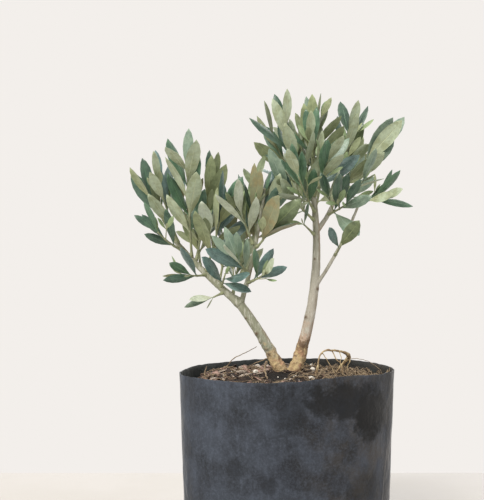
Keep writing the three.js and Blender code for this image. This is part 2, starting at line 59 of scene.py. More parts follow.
# The row of random numbers
MODULUS = 2147483647
MULTIPLIER = 48271
SEED_STEP = 7919
SEED_START = 104729

# The growing rule, the same as the part's own
GAP = 0.3
GROUND = 124.0
LIMB_STEPS = 16
SAMPLE_STEP = 1.5
SPRAY_REACH = 54
TWIG_FOOT = 0.9
TWIG_TIP = 0.45
SIDE_TWIG_OPEN = 40.0
SIDE_TWIG_LENGTH = 0.62
SIDE_TWIG_STRAY = 20
SIDE_TWIG_LIFT = 8
SIDE_TWIG_THIN = (0.7, 0.9)
LEAF_THICK = 0.6
LEAF_CLEAR = 1.9
OWN_CLEAR = 1.3
SIDE_TWIG_CLEAR = OWN_CLEAR * 0.6
STEM_ROOM = 0.4
LEAST_SINE = 0.01
PETIOLE = 0.1
LEAF_LIFT = 0.22
LEAF_TURN = 0.35
LEAF_END_ON = 0.78
FRONT = np.array([0.0, -1.0, 0.0])
LEAF_OPEN_FOOT = 50.0
LEAF_OPEN_TIP = 16.0
TRIES = 8
BARE_LONG = 0.28
BARE_SHORT = 0.6
LEAF_SLIM = 0.24
LEAF_SLIM_RANGE = 0.07
LEAF_BEND = 6.0
LEAF_WIDEST = 0.55
LEAF_FOOT_FORM = 0.96
LEAF_TIP_FORM = 0.78
YOUNG_LEAF = 0.86
SPIN_STRAY = 16.0
ROUND_STRAY = (20.0, 6.0)
OPEN_STRAY = (12.0, 3.0)
TWIST_STRAY = 34.0
BEND_STRAY = 18.0
LENGTH_STRAY = 0.16
WIDTH_STRAY = 0.14
SAMPLE_ROWS = np.array([0.22, 0.33, 0.44, 0.55, 0.66, 0.77, 0.88, 0.98])
SAMPLE_SHARES = np.array([0.0, 0.5, -0.5, 0.95, -0.95])

# Growth finer than the solids': young leaves at every tip, and short shoots beside the leaves
TIP_LEAF = 0.46
TIP_LEAVES = 4
TIP_TRIES = 3
TIP_OPEN = (30, 12)
TIP_SIZE = (1.0, 0.6)
SHOOT_CHANCE = 0.5
SHOOT_LENGTH = 8.0
SHOOT_LEAF = 0.5
SHOOT_OPEN = 34
SHOOT_LIFT = 10
SHOOT_THIN = 0.6
SHOOT_OPEN_STRAY = 14
SHOOT_LENGTH_STRAY = 0.35
TIP_ROUND_STRAY = (20, 15)
TIP_OPEN_STRAY = 9
FINE_CLEAR = 1.0
FINE_THICK = 0.2

# name, at, heading, climb, lift, length, foot, tip
STEMS = (
    ("trunk_right", (5.7, 0.0), 0, 70, 29, 125, 4.2, 1.8),
    ("trunk_left", (-3.3, 0.0), 180, 64, -11, 54, 4.0, 3.0),
)
# name, parent, along, heading, climb, lift, length, foot, tip
BOUGHS = (
    ("bough_left_outer", "trunk_left", 1.0, 170, 38, 11, 61, 2.7, 1.6),
    ("bough_left_inner", "trunk_left", 0.97, -50, 66, 13, 81, 1.75, 1.1),
    ("bough_right_side", "trunk_right", 0.46, -22, 54, 16, 71, 1.3, 0.85),
    ("bough_right_inner", "trunk_right", 0.77, 25, 44, 30, 32, 1.7, 1.2),
)
# Limb and seed of each group of sprays, and its rows: name, along the limb, heading, climb,
# lift, stem length, leaf pairs, side twigs, leaf length
SPRAY_GROUPS = (
    ("bough_left_outer", 521, (
        ("left_upright", 0.72, -95, 66, 6, 58, 5, 1, 31),
        ("left_end_low", 1.00, -150, 55, 5, 32, 2, 0, 32),
        ("left_end_high", 0.93, -120, 56, 8, 40, 4, 0, 30),
        ("left_low", 0.84, -135, 20, 20, 24, 3, 0, 23),
    )),
    ("bough_left_outer", 1051, (
        ("left_upright_rear", 0.66, 30, 78, 0, 48, 5, 1, 32),
        ("left_middle", 0.50, -55, 62, 3, 40, 5, 1, 30),
        ("left_under", 0.48, -125, -5, 10, 14, 2, 0, 26),
        ("left_drop", 0.20, -145, -20, 0, 7, 1, 0, 20),
        ("left_fork", 0.10, 60, 70, 0, 22, 4, 1, 26),
    )),
    ("bough_left_inner", 1161, (
        ("inner_left", 0.50, -137, 62, 0, 25, 4, 1, 30),
        ("inner_top_left", 0.80, 150, 77, 0, 12, 2, 0, 24),
        ("inner_top_right", 0.62, 15, 54, 10, 15, 3, 1, 27),
        ("inner_right", 0.50, -50, 31, 15, 10, 2, 0, 32),
    )),
    ("bough_left_inner", 681, (
        ("inner_low_right", 0.20, -48, 15, 10, 12, 3, 0, 25),
        ("inner_low_left", 0.28, -118, 28, 10, 15, 3, 0, 25),
    )),
    ("trunk_right", 1361, (
        ("right_up", 1.00, 60, 84, 0, 45, 6, 1, 30),
        ("right_up_left", 0.93, -155, 60, 12, 44, 5, 1, 30),
        ("right_left", 0.90, 178, 54, 10, 46, 5, 1, 30),
    )),
    ("trunk_right", 291, (
        ("right_left_low", 0.82, -140, 32, 10, 34, 4, 1, 29),
        ("right_front", 0.95, -70, 36, 20, 27, 4, 1, 28),
    )),
    ("bough_right_inner", 641, (
        ("right_high", 1.00, -44, 74, 4, 38, 5, 1, 30),
        ("right_far", 0.88, -26, 44, 8, 34, 4, 0, 33),
    )),
    ("bough_right_inner", 831, (
        ("right_mid", 0.75, -55, 16, 15, 29, 3, 1, 28),
        ("right_lower_front", 0.45, -68, 10, 5, 23, 3, 1, 27),
    )),
    ("bough_right_side", 851, (
        ("side_end", 0.93, -30, 5, 5, 11, 3, 0, 25),
        ("side_low", 0.38, -87, 11, 10, 15, 1, 0, 27),
    )),
    ("bough_left_outer", 1241, (
        ("left_rear_outer", 0.58, 98, 43, 10, 40, 5, 2, 28),
        ("left_rear_fork", 0.30, 78, 48, 10, 44, 5, 2, 28),
    )),
    ("bough_left_inner", 831, (("inner_rear", 0.45, 84, 45, 10, 38, 4, 1, 28),)),
    ("trunk_right", 491, (
        ("right_rear_left", 0.96, 106, 31, 15, 43, 5, 2, 28),
        ("right_rear", 0.88, 78, 26, 15, 38, 4, 2, 27),
    )),
    ("trunk_right", 1381, (("right_front_left", 0.87, -112, 24, 15, 38, 4, 1, 28),)),
    ("bough_right_inner", 321, (("right_rear_right", 0.93, 72, 31, 15, 40, 5, 2, 28),)),
    ("bough_left_outer", 1691, (("left_fork_front", 0.27, -78, 26, 10, 15, 3, 0, 25),)),
    ("trunk_right", 341, (("right_under_left", 0.74, -140, 34, 0, 10, 1, 0, 22),)),
)


# Growth of the plant
def aim(heading: float, climb: float) -> Array:
    """Returns the unit vector of a bearing (0 along +X, 90 along +Y) and a climb, in degrees."""
    h, c = math.radians(heading), math.radians(climb)
    return np.array([math.cos(h) * math.cos(c), math.sin(h) * math.cos(c), math.sin(c)])


def aimed_at(direction: Array) -> tuple[float, float]:
    """Returns the bearing and climb of a unit vector, in degrees."""
    climb = math.degrees(math.asin(min(max(direction[2], -1.0), 1.0)))
    return math.degrees(math.atan2(direction[1], direction[0])), climb


def unit(vector: Array) -> Array:
    """Returns the vector at length one."""
    return vector / math.sqrt(float(vector @ vector))


def cross(a: Array, b: Array) -> Array:
    """Returns the cross product of two vectors."""
    (ax, ay, az), (bx, by, bz) = a, b
    return np.array([ay * bz - az * by, az * bx - ax * bz, ax * by - ay * bx])


def smoothstep(low: float, high: float, value: Any) -> Any:
    """Returns a smooth rise from 0 at low to 1 at high, for a number or an array."""
    t = np.clip((value - low) / (high - low), 0.0, 1.0)
    return t * t * (3 - 2 * t)


class Seed(IntEnum):
    """Seeds of the draws, apart from those of the sprays."""

    CHIP_SPOTS = 5
    GRAIN_SPOTS = 9
    THREAD_SPOTS = 13
    CREASES = 19
    CHIPS = 31
    GRAINS = 32
    THREADS = 47
    TINTS = 77


class Draws:
    """Numbers drawn from a seed, the same on every run."""

    def __init__(self, seed: int) -> None:
        """Starts the row of numbers at a seed."""
        self.state = (seed * SEED_STEP + SEED_START) % MODULUS
        for _ in range(3):
            self.next()

    def next(self) -> float:
        """Returns the next number, between 0 and 1."""
        self.state = self.state * MULTIPLIER % MODULUS
        return self.state / MODULUS

    def spread(self, half: float) -> float:
        """Returns a number between minus half and plus half."""
        return (self.next() * 2 - 1) * half


@dataclass(eq=False)
class Limb:
    """A tapering limb or twig: an arc in the upright plane of its heading."""

    start: Array
    heading: float
    climb: float
    lift: float
    length: float
    foot: float
    tip: float
    nodes: list[float] = field(default_factory=list)

    def __post_init__(self) -> None:
        """Steps along the arc and keeps its points."""
        points = [np.asarray(self.start, float)]
        for i in range(LIMB_STEPS):
            step = self.direction((i + 0.5) / LIMB_STEPS) * (self.length / LIMB_STEPS)
            points.append(points[-1] + step)
        self.points = np.array(points)

    def direction(self, t: float) -> Array:
        """Returns the direction at a share of the length."""
        return aim(self.heading, self.climb + self.lift * t)

    def point(self, t: float) -> Array:
        """Finds a point along the middle.

        Args:
            t: Share of the length, below 0 for a point straight on before the foot.

        Returns:
            The point.
        """
        if t < 0:
            return self.points[0] + self.direction(0.0) * (t * self.length)
        place = min(t, 1.0) * LIMB_STEPS
        i = min(int(place), LIMB_STEPS - 1)
        return self.points[i] + (self.points[i + 1] - self.points[i]) * (place - i)

    def radius(self, t: float) -> float:
        """Returns the radius at a share of the length."""
        return self.foot + (self.tip - self.foot) * min(max(t, 0.0), 1.0)

    def square(self, t: float) -> tuple[Array, Array]:
        """Returns two unit vectors square to the limb: level to its left, and in its plane."""
        h = math.radians(self.heading)
        level = np.array([-math.sin(h), math.cos(h), 0.0])
        return level, cross(self.direction(t), level)

    def samples(self) -> tuple[Array, Array]:
        """Returns points along the middle and the radius at each."""
        count = max(2, int(self.length / SAMPLE_STEP))
        shares = [i / count for i in range(count + 1)]
        return np.array([self.point(t) for t in shares]), np.array([self.radius(t) for t in shares])


def seat(limb: Limb, along: float, direction: Array, radius: float) -> Array:
    """Finds the start of a twig whose root stays just clear of its limb.

    Args:
        limb: The limb it springs from.
        along: Share of the limb's length.
        direction: Unit vector the twig sets out in.
        radius: Radius of the twig's foot.

    Returns:
        The point where the twig starts.
    """
    cosine = float(limb.direction(along) @ direction)
    sine = max(math.sqrt(max(1 - cosine * cosine, 0.0)), LEAST_SINE)
    if along >= 1:
        reach = (GAP + radius * sine) / cosine
    else:
        reach = (limb.radius(along) + GAP + radius * abs(cosine)) / sine
    return limb.point(along) + direction * reach


@dataclass(eq=False)
class Leaf:
    """One olive leaf: a lance shape that bends along its length."""

    base: Array
    direction: Array
    normal: Array
    length: float
    width: float
    bend: float
    spray: int
    twig: int
    young: bool = False

    def __post_init__(self) -> None:
        """Works out the direction across the blade, and the bend in radians."""
        self.bend = math.radians(self.bend)
        self.side = cross(self.direction, self.normal)

    def at(self, s: Array) -> Array:
        """Follows the midrib.

        Args:
            s: Shares of the length.

        Returns:
            The points there.
        """
        angle = self.bend * s
        along, up = np.sin(angle) / self.bend, (np.cos(angle) - 1) / self.bend
        offset = np.outer(along, self.direction) + np.outer(up, self.normal)
        return self.base + self.length * offset

    def normals(self, s: Array) -> Array:
        """Returns the upper side's direction at shares of the length."""
        angle = self.bend * s
        return np.outer(np.cos(angle), self.normal) + np.outer(np.sin(angle), self.direction)

    def half_width(self, s: Array) -> Array:
        """Works out the outline of the blade.

        Args:
            s: Shares of the length.

        Returns:
            Half the blade's width at each.
        """
        x = np.clip((s - PETIOLE) / (1 - PETIOLE), 0.0, 1.0)
        rise = (x / LEAF_WIDEST) ** LEAF_FOOT_FORM
        fall = ((1 - x) / (1 - LEAF_WIDEST)) ** LEAF_TIP_FORM
        return self.width / 2 * rise * fall

    def samples(self) -> Array:
        """Returns rows of points over the blade, from near its root to its tip."""
        half = self.half_width(SAMPLE_ROWS)
        across = (half[:, None] * SAMPLE_SHARES[None, :])[:, :, None] * self.side
        return self.at(SAMPLE_ROWS)[:, None, :] + across


def leaf_share(t: float) -> float:
    """Returns a leaf's share of full size by its place: greatest before the twig's middle."""
    return 0.82 + 0.3 * math.sin(math.pi * (0.25 + 0.6 * t))


class Taken:
    """The space that is taken: points with a radius and the number of a spray."""

    def __init__(self) -> None:
        """Starts with nothing taken."""
        self.points: list[Array] = []
        self.radii: list[Array] = []
        self.owners: list[Array] = []

    def add(self, points: Array, radii: Any, owner: int = -1) -> None:
        """Takes the space round some points.

        Args:
            points: Points, in rows.
            radii: One radius, or one for each point.
            owner: Number of the spray that may grow past them, or -1.
        """
        flat = np.asarray(points, float).reshape(-1, 3)
        self.points.append(flat)
        self.radii.append(np.broadcast_to(np.asarray(radii, float), (len(flat),)))
        self.owners.append(np.full(len(flat), owner))

    def near(self, centre: Array, reach: float, owner: int) -> "Near":
        """Picks out what is taken round a place.

        Args:
            centre: The place.
            reach: How far from it.
            owner: Number of the spray whose own stem is passed over.

        Returns:
            The points there.
        """
        points, radii = np.vstack(self.points), np.concatenate(self.radii)
        keep = ((points - centre) ** 2).sum(1) < reach * reach
        keep &= np.concatenate(self.owners) != owner
        return Near(points[keep], radii[keep])


@dataclass
class Near:
    """Points with radii that new growth keeps clear of."""

    points: Array = field(default_factory=lambda: np.zeros((0, 3)))
    radii: Array = field(default_factory=lambda: np.zeros(0))

    def add(self, points: Array, radius: float) -> None:
        """Adds points that all have one radius."""
        flat = points.reshape(-1, 3)
        self.points = np.vstack([self.points, flat])
        self.radii = np.concatenate([self.radii, np.full(len(flat), radius)])

    def is_clear(self, samples: Array, extra: float) -> bool:
        """Tells whether new growth fits.

        Args:
            samples: Points of the new growth.
            extra: Room to keep between it and everything here.

        Returns:
            True where every sample is clear.
        """
        if not len(self.points):
            return True
        flat = samples.reshape(-1, 3)
        apart = (flat ** 2).sum(1)[:, None] + (self.points ** 2).sum(1)[None, :]
        apart = apart - 2 * flat @ self.points.T
        return bool((apart > ((self.radii + extra) ** 2)[None, :]).all())


class Spray:
    """A mass of foliage: twigs and leaves that grow from one stem by the seeded rule."""

    def __init__(self, limb: Limb, row: Sequence[Any], seed: int, number: int) -> None:
        """Places the stem.

        Args:
            limb: The limb that the stem springs from.
            row: Name, along, heading, climb, lift, length, pairs, side twigs and leaf length.
            seed: Seed of its draws.
            number: Its place in the order of growth.
        """
        self.name, along, heading, climb, lift, length, self.pairs, self.side_twigs, self.leaf = row
        self.draws, self.number = Draws(seed), number
        start = seat(limb, along, aim(heading, climb), TWIG_FOOT)
        self.stem = Limb(start, heading, climb, lift, length, TWIG_FOOT, TWIG_TIP)
        self.twigs = [self.stem]
        self.leaves: list[Leaf] = []

    def look_round(self, taken: Taken) -> None:
        """Notes what is taken near the spray."""
        reach = self.stem.length + SPRAY_REACH
        self.taken, self.own = taken.near(self.stem.points[0], reach, self.number), Near()

    def leaf_out(self, taken: Taken) -> None:
        """Bears twigs and leaves clear of the limbs and of the other sprays.

        Args:
            taken: The space that is taken.
        """
        self.look_round(taken)
        roll = 90 * self.draws.next()
        self.slimness = LEAF_SLIM + LEAF_SLIM_RANGE * self.draws.next()
        self.own.add(self.stem.samples()[0][2:], STEM_ROOM)
        self.bear(self.stem, self.pairs, self.leaf, roll, self.side_twigs)

    def bear(self, twig: Limb, pairs: int, size: float, roll: float, side_twigs: int) -> None:
        """Bears pairs of leaves along a twig, each pair turned a quarter from the last.

        Args:
            twig: The twig that bears them.
            pairs: Number of pairs.
            size: Length of a leaf.
            roll: Bearing of the first pair round the twig, in degrees.
            side_twigs: Number of side twigs among the first pairs.
        """
        bare = BARE_LONG if pairs > 2 else BARE_SHORT
        for k in range(pairs):
            t = 1 - (1 - bare) * (pairs - 1 - k) / max(pairs - 1, 1)
            spin = roll + 90 * k + self.draws.spread(SPIN_STRAY)
            here = size * leaf_share(t)
            twig.nodes.append(t)
            for side in (0, 180):
                self.try_leaf(twig, t, spin + side, here)
            if k < side_twigs:
                self.try_side_twig(twig, t, spin, 180 * (k % 2), size)

    def branch_off(self, twig: Limb, t: float, spin: float, opening: float) -> Array:
        """Turns from a twig, and up a little to the light.

        Args:
            twig: The twig it leaves.
            t: Share of the twig's length.
            spin: Bearing round the twig, in degrees.
            opening: Angle from the twig, in degrees.

        Returns:
            The direction at length one.
        """
        level, over = twig.square(t)
        spin, opening = math.radians(spin), math.radians(opening)
        out = (level * math.cos(spin) + over * math.sin(spin)) * math.sin(opening)
        return unit(twig.direction(t) * math.cos(opening) + out + np.array([0, 0, LEAF_LIFT]))

    def make_leaf(self, twig: Limb, t: float, size: float, direction: Array) -> Leaf:
        """Draws a leaf's twist, size and bend.

        Args:
            twig: The twig that bears it.
            t: Share of the twig's length.
            size: Its length before the draw.
            direction: Direction it sets out in.

        Returns:
            The leaf.
        """
        axis = twig.direction(t)
        face = unit(axis - direction * float(axis @ direction))
        twist = math.radians(self.draws.spread(TWIST_STRAY))
        normal = face * math.cos(twist) + cross(direction, face) * math.sin(twist)
        front = unit(FRONT - direction * float(FRONT @ direction))
        normal = unit(normal + front * (LEAF_TURN if normal @ front >= 0 else -LEAF_TURN))
        length = size * (1 + self.draws.spread(LENGTH_STRAY))
        width = length * self.slimness * (1 + self.draws.spread(WIDTH_STRAY))
        bend = LEAF_BEND + self.draws.spread(BEND_STRAY)
        place = self.twigs.index(twig)
        return Leaf(twig.point(t), direction, normal, length, width, bend, self.number, place)

    def try_leaf(self, twig: Limb, t: float, spin: float, size: float) -> None:
        """Bears a leaf where one of a few draws finds it a clear place.

        Args:
            twig: The twig that bears it.
            t: Share of the twig's length.
            spin: Bearing round the twig, in degrees.
            size: Its length before the draw.
        """
        opening = LEAF_OPEN_FOOT + (LEAF_OPEN_TIP - LEAF_OPEN_FOOT) * t
        for i in range(TRIES):
            turn = spin + self.draws.spread(ROUND_STRAY[0] + ROUND_STRAY[1] * i)
            tilt = opening + self.draws.spread(OPEN_STRAY[0] + OPEN_STRAY[1] * i)
            leaf = self.make_leaf(twig, t, size, self.branch_off(twig, t, turn, tilt))
            samples = leaf.samples()
            is_side_on = abs(leaf.direction @ FRONT) < LEAF_END_ON
            is_free = self.taken.is_clear(samples, LEAF_CLEAR)
            if is_side_on and is_free and self.own.is_clear(samples[1:], OWN_CLEAR):
                self.own.add(samples[1:], LEAF_THICK / 2)
                self.leaves.append(leaf)
                return

    def try_side_twig(self, twig: Limb, t: float, spin: float, half_turn: int, size: float) -> None:
        """Bears a side twig with two pairs of leaves where it is clear.

        Args:
            twig: The twig it springs from.
            t: Share of that twig's length.
            spin: Bearing of the leaves beside it, in degrees.
            half_turn: 0, or 180 for the other side.
            size: Length of a leaf of that twig.
        """
        turn = spin + 90 + self.draws.spread(SIDE_TWIG_STRAY) + half_turn
        way = aimed_at(self.branch_off(twig, t, turn, SIDE_TWIG_OPEN))
        thin_foot, thin_tip = SIDE_TWIG_THIN
        sizes = (size * SIDE_TWIG_LENGTH, TWIG_FOOT * thin_foot, TWIG_TIP * thin_tip)
        side = Limb(twig.point(t), *way, SIDE_TWIG_LIFT, *sizes)
        points = side.samples()[0]
        is_free = self.taken.is_clear(points, LEAF_CLEAR)
        if is_free and self.own.is_clear(points[3:], SIDE_TWIG_CLEAR):
            self.own.add(points[3:], LEAF_THICK / 2)
            self.twigs.append(side)
            self.bear(side, 2, size * YOUNG_LEAF, spin + 45, 0)

    def refine(self, taken: Taken) -> list[Leaf]:
        """Carries the growth on: young leaves at the tips and short shoots beside the leaves.

        Args:
            taken: The space that is taken.

        Returns:
            The young leaves.
        """
        self.look_round(taken)
        before = len(self.leaves)
        for twig in list(self.twigs):
            for t in twig.nodes[:-1]:
                if self.draws.next() < SHOOT_CHANCE:
                    self.try_shoot(twig, t)
            self.crown_tip(twig, self.leaf * TIP_LEAF)
        return self.leaves[before:]

    def try_shoot(self, twig: Limb, t: float) -> None:
        """Grows one short shoot beside the leaves.

        Args:
            twig: The twig it springs from.
            t: Share of that twig's length.
        """
        for _ in range(TRIES):
            turn = 360 * self.draws.next()
            tilt = SHOOT_OPEN + self.draws.spread(SHOOT_OPEN_STRAY)
            way = aimed_at(self.branch_off(twig, t, turn, tilt))
            length = SHOOT_LENGTH * (1 + self.draws.spread(SHOOT_LENGTH_STRAY))
            shoot = Limb(twig.point(t), *way, SHOOT_LIFT, length, TWIG_TIP, TWIG_TIP * SHOOT_THIN)
            if self.taken.is_clear(shoot.samples()[0][2:], FINE_CLEAR):
                self.twigs.append(shoot)
                shoot.nodes.append(1.0)
                if not self.crown_tip(shoot, self.leaf * SHOOT_LEAF):
                    self.twigs.pop()
                return

    def crown_tip(self, twig: Limb, size: float) -> int:
        """Bears up to four young leaves at the end of a twig.

        Args:
            twig: The twig that ends there.
            size: Length of the outer pair.

        Returns:
            The number of leaves borne.
        """
        before = len(self.leaves)
        roll = 360 * self.draws.next()
        for k in range(TIP_LEAVES):
            pair = k // 2
            for i in range(TIP_TRIES):
                stray = self.draws.spread(TIP_ROUND_STRAY[0] + TIP_ROUND_STRAY[1] * i)
                turn = roll + 180 * k + 90 * pair + stray
                tilt = TIP_OPEN[pair] + self.draws.spread(TIP_OPEN_STRAY)
                way = self.branch_off(twig, 1.0, turn, tilt)
                leaf = self.make_leaf(twig, 1.0, size * TIP_SIZE[pair], way)
                leaf.young = True
                samples = leaf.samples()[2:]
                if self.taken.is_clear(samples, FINE_CLEAR):
                    self.taken.add(samples, FINE_THICK)
                    self.leaves.append(leaf)
                    break
        return len(self.leaves) - before


class Plant:
    """The whole plant as it grows: stems, boughs and sprays."""

    def __init__(self) -> None:
        """Grows the limbs, places every stem, and then leafs out the sprays in turn."""
        self.limbs: dict[str, Limb] = {}
        for name, at, *sizes in STEMS:
            self.limbs[name] = Limb(np.array([*at, GROUND]), *sizes)
        for name, parent, along, *sizes in BOUGHS:
            self.limbs[name] = Limb(self.limbs[parent].point(along), *sizes)
        self.sprays: list[Spray] = []
        for limb, seed, rows in SPRAY_GROUPS:
            for i, row in enumerate(rows):
                self.sprays.append(Spray(self.limbs[limb], row, seed + i, len(self.sprays)))
        taken = Taken()
        for limb in self.limbs.values():
            taken.add(*limb.samples())
        for spray in self.sprays:
            taken.add(*spray.stem.samples(), spray.number)
        for spray in self.sprays:
            spray.leaf_out(taken)
            for leaf in spray.leaves:
                taken.add(leaf.samples(), LEAF_THICK / 2)
            for twig in spray.twigs[1:]:
                taken.add(*twig.samples())
        for spray in self.sprays:
            for leaf in spray.refine(taken):
                taken.add(leaf.samples(), FINE_THICK)

    @property
    def leaves(self) -> list[Leaf]:
        """Every leaf of every spray."""
        return [leaf for spray in self.sprays for leaf in spray.leaves]

    @property
    def masses(self) -> list[str]:
        """Names of the sprays, in the order of growth."""
        return [spray.name for spray in self.sprays]


# Node sheets and the effects that finishes share
def linear(colour: int) -> tuple[float, float, float, float]:
    """Turns a colour written as 0xRRGGBB into the renderer's linear values."""
    parts = [((colour >> shift) & 255) / 255 for shift in (16, 8, 0)]
    values = [c / 12.92 if c <= 0.04045 else ((c + 0.055) / 1.055) ** 2.4 for c in parts]
    return (*values, 1.0)


@dataclass(frozen=True)
class Value:
    """A node's result, which can be reckoned with."""

    sheet: "Sheet"
    socket: bpy.types.NodeSocket

    def __add__(self, other: Any) -> "Value":
        """Returns the sum."""
        return self.sheet.math("ADD", self, other)

    def __sub__(self, other: Any) -> "Value":
        """Returns the difference."""
        return self.sheet.math("SUBTRACT", self, other)

    def __mul__(self, other: Any) -> "Value":
        """Returns the product."""
        return self.sheet.math("MULTIPLY", self, other)

    def __truediv__(self, other: Any) -> "Value":
        """Returns the quotient."""
        return self.sheet.math("DIVIDE", self, other)

    def most(self, other: Any) -> "Value":
        """Returns the greater of two values."""
        return self.sheet.math("MAXIMUM", self, other)

    def ramp(self, low: Any, high: Any, start: Any = 0.0, end: Any = 1.0) -> "Value":
        """Returns a smooth map of the value from low..high to start..end."""
        inputs = {0: self, 1: low, 2: high, 3: start, 4: end}
        return self.sheet.value("ShaderNodeMapRange", inputs, interpolation_type="SMOOTHSTEP")


class Sheet:
    """Adds nodes to one tree and links them."""

    def __init__(self, tree: bpy.types.NodeTree) -> None:
        """Keeps the tree."""
        self.tree = tree

    def feed(self, socket: bpy.types.NodeSocket, value: Any) -> None:
        """Links a value to a socket, or sets a constant on it.

        Args:
            socket: The input to feed.
            value: A node's result, a number, a vector, or a colour as 0xRRGGBB.
        """
        if isinstance(value, Value):
            self.tree.links.new(value.socket, socket)
        elif socket.type == "RGBA":
            socket.default_value = linear(value)
        else:
            socket.default_value = value

    def add(self, kind: str, inputs: dict[Any, Any], **settings: Any) -> Any:
        """Adds a node.

        Args:
            kind: Blender's name for the node type.
            inputs: What feeds each input, by its name or number.
            settings: Properties of the node.

        Returns:
            The node's outputs.
        """
        node = self.tree.nodes.new(kind)
        for name, setting in settings.items():
            setattr(node, name, setting)
        for name, value in inputs.items():
            self.feed(node.inputs[name], value)
        return node.outputs

    def value(self, kind: str, inputs: dict[Any, Any], output: Any = 0, **settings: Any) -> Value:
        """Adds a node and returns one of its results."""
        return Value(self, self.add(kind, inputs, **settings)[output])

    def math(self, operation: str, first: Any, second: Any = 0.0) -> Value:
        """Returns the result of one sum."""
        return self.value("ShaderNodeMath", {0: first, 1: second}, operation=operation)

    def noise(self, place: Value, scale: Any, detail: float = 3.0, rough: float = 0.55) -> Value:
        """Returns the value of a noise texture."""
        inputs = {"Vector": place, "Scale": scale, "Detail": detail, "Roughness": rough}
        return self.value("ShaderNodeTexNoise", inputs)

    def mix(self, share: Any, first: Any, second: Any, blend: str = "MIX") -> Value:
        """Returns a colour between two colours."""
        inputs = {0: share, 6: first, 7: second}
        return self.value("ShaderNodeMix", inputs, 2, data_type="RGBA", blend_type=blend)

    def lay(self, ground: Value, *layers: tuple[Any, Any]) -> Value:
        """Returns a ground with colours laid over it in turn, each with its share."""
        for share, colour in layers:
            ground = self.mix(share, ground, colour)
        return ground

    def split(self, vector: Value) -> list[Value]:
        """Returns the x, y and z of a vector."""
        return [Value(self, part) for part in self.add("ShaderNodeSeparateXYZ", {0: vector})]


class SharedSheet(Sheet):
    """A node group with named sockets."""

    def __init__(self, name: str, given: dict[str, Any], results: Sequence[str]) -> None:
        """Starts the group.

        Args:
            name: The group's name.
            given: Default of each input: a colour, a number, or None for coordinates.
            results: Names of the outputs, where Color is a colour and others are numbers.
        """
        super().__init__(bpy.data.node_groups.new(name, "ShaderNodeTree"))
        new_socket = self.tree.interface.new_socket
        for label, value in given.items():
            kind = "Vector" if value is None else "Color" if isinstance(value, int) else "Float"
            socket = new_socket(label, in_out="INPUT", socket_type="NodeSocket" + kind)
            if value is not None:
                socket.default_value = linear(value) if kind == "Color" else value
        for label in results:
            kind = "Color" if label == "Color" else "Float"
            new_socket(label, in_out="OUTPUT", socket_type="NodeSocket" + kind)
        entry = self.add("NodeGroupInput", {})
        self.given = {label: Value(self, entry[label]) for label in given}

    def give(self, **results: Value) -> bpy.types.NodeTree:
        """Feeds the outputs and returns the group's tree."""
        self.add("NodeGroupOutput", results)
        return self.tree


def mottle_group() -> bpy.types.NodeTree:
    """Builds patches of a second colour on a ground.

    Returns:
        The group's tree.
    """
    sheet = SharedSheet(
        "mottle",
        {"Vector": None, "Ground": 0x808080, "Patch": 0x404040, "Scale": 100.0, "Low": 0.4,
         "High": 0.6, "Amount": 1.0},
        ("Color",),
    )
    place, ground, patch, scale, low, high, amount = sheet.given.values()
    share = sheet.noise(place, scale, 4.0, 0.6).ramp(low, high, 0.0, amount)
    return sheet.give(Color=sheet.mix(share, ground, patch))


def grain_group() -> bpy.types.NodeTree:
    """Builds the height of a fine relief: a broad noise with a finer one on it.

    Returns:
        The group's tree.
    """
    sheet = SharedSheet("grain", {"Vector": None, "Scale": 300.0, "Fine": 0.4}, ("Height",))
    place, scale, fine = sheet.given.values()
    finer = sheet.noise(place, scale * 4.3, 2.0, 0.5)
    return sheet.give(Height=sheet.noise(place, scale, 3.0, 0.5) + finer * fine)


def vein_group() -> bpy.types.NodeTree:
    """Builds midrib, stalk, faint side veins and a thin margin on the leaf's own UV map.

    Returns:
        The group's tree.
    """
    sheet = SharedSheet(
        "leaf_veins",
        {"UV": None, "Blade": 0x405040, "Rib": 0x809070, "Vein Strength": 0.2},
        ("Color", "Height"),
    )
    place, blade, rib_colour, strength = sheet.given.values()
    u, v, _ = sheet.split(place)
    across = sheet.math("ABSOLUTE", u - 0.5) * 2.0
    rib = (across / v.ramp(0.1, 0.9, 0.16, 0.05)).ramp(0.25, 1.0, 1.0, 0.0)
    stalk = v.ramp(0.1, 0.17, 1.0, 0.0)
    wave = sheet.math("SINE", (v * 15.0 - across * 2.2) * 6.283)
    side = wave.ramp(0.75, 1.0) * strength
    margin = across.ramp(0.86, 1.0, 0.0, 0.35)
    pale = rib.most(stalk).most(side.most(margin))
    return sheet.give(Color=sheet.mix(pale, blade, rib_colour), Height=side * 0.5 - rib)


class SharedEffects:
    """Node groups that more than one finish uses."""

    def __init__(self) -> None:
        """Builds every group once."""
        self.mottle, self.grain, self.veins = mottle_group(), grain_group(), vein_group()


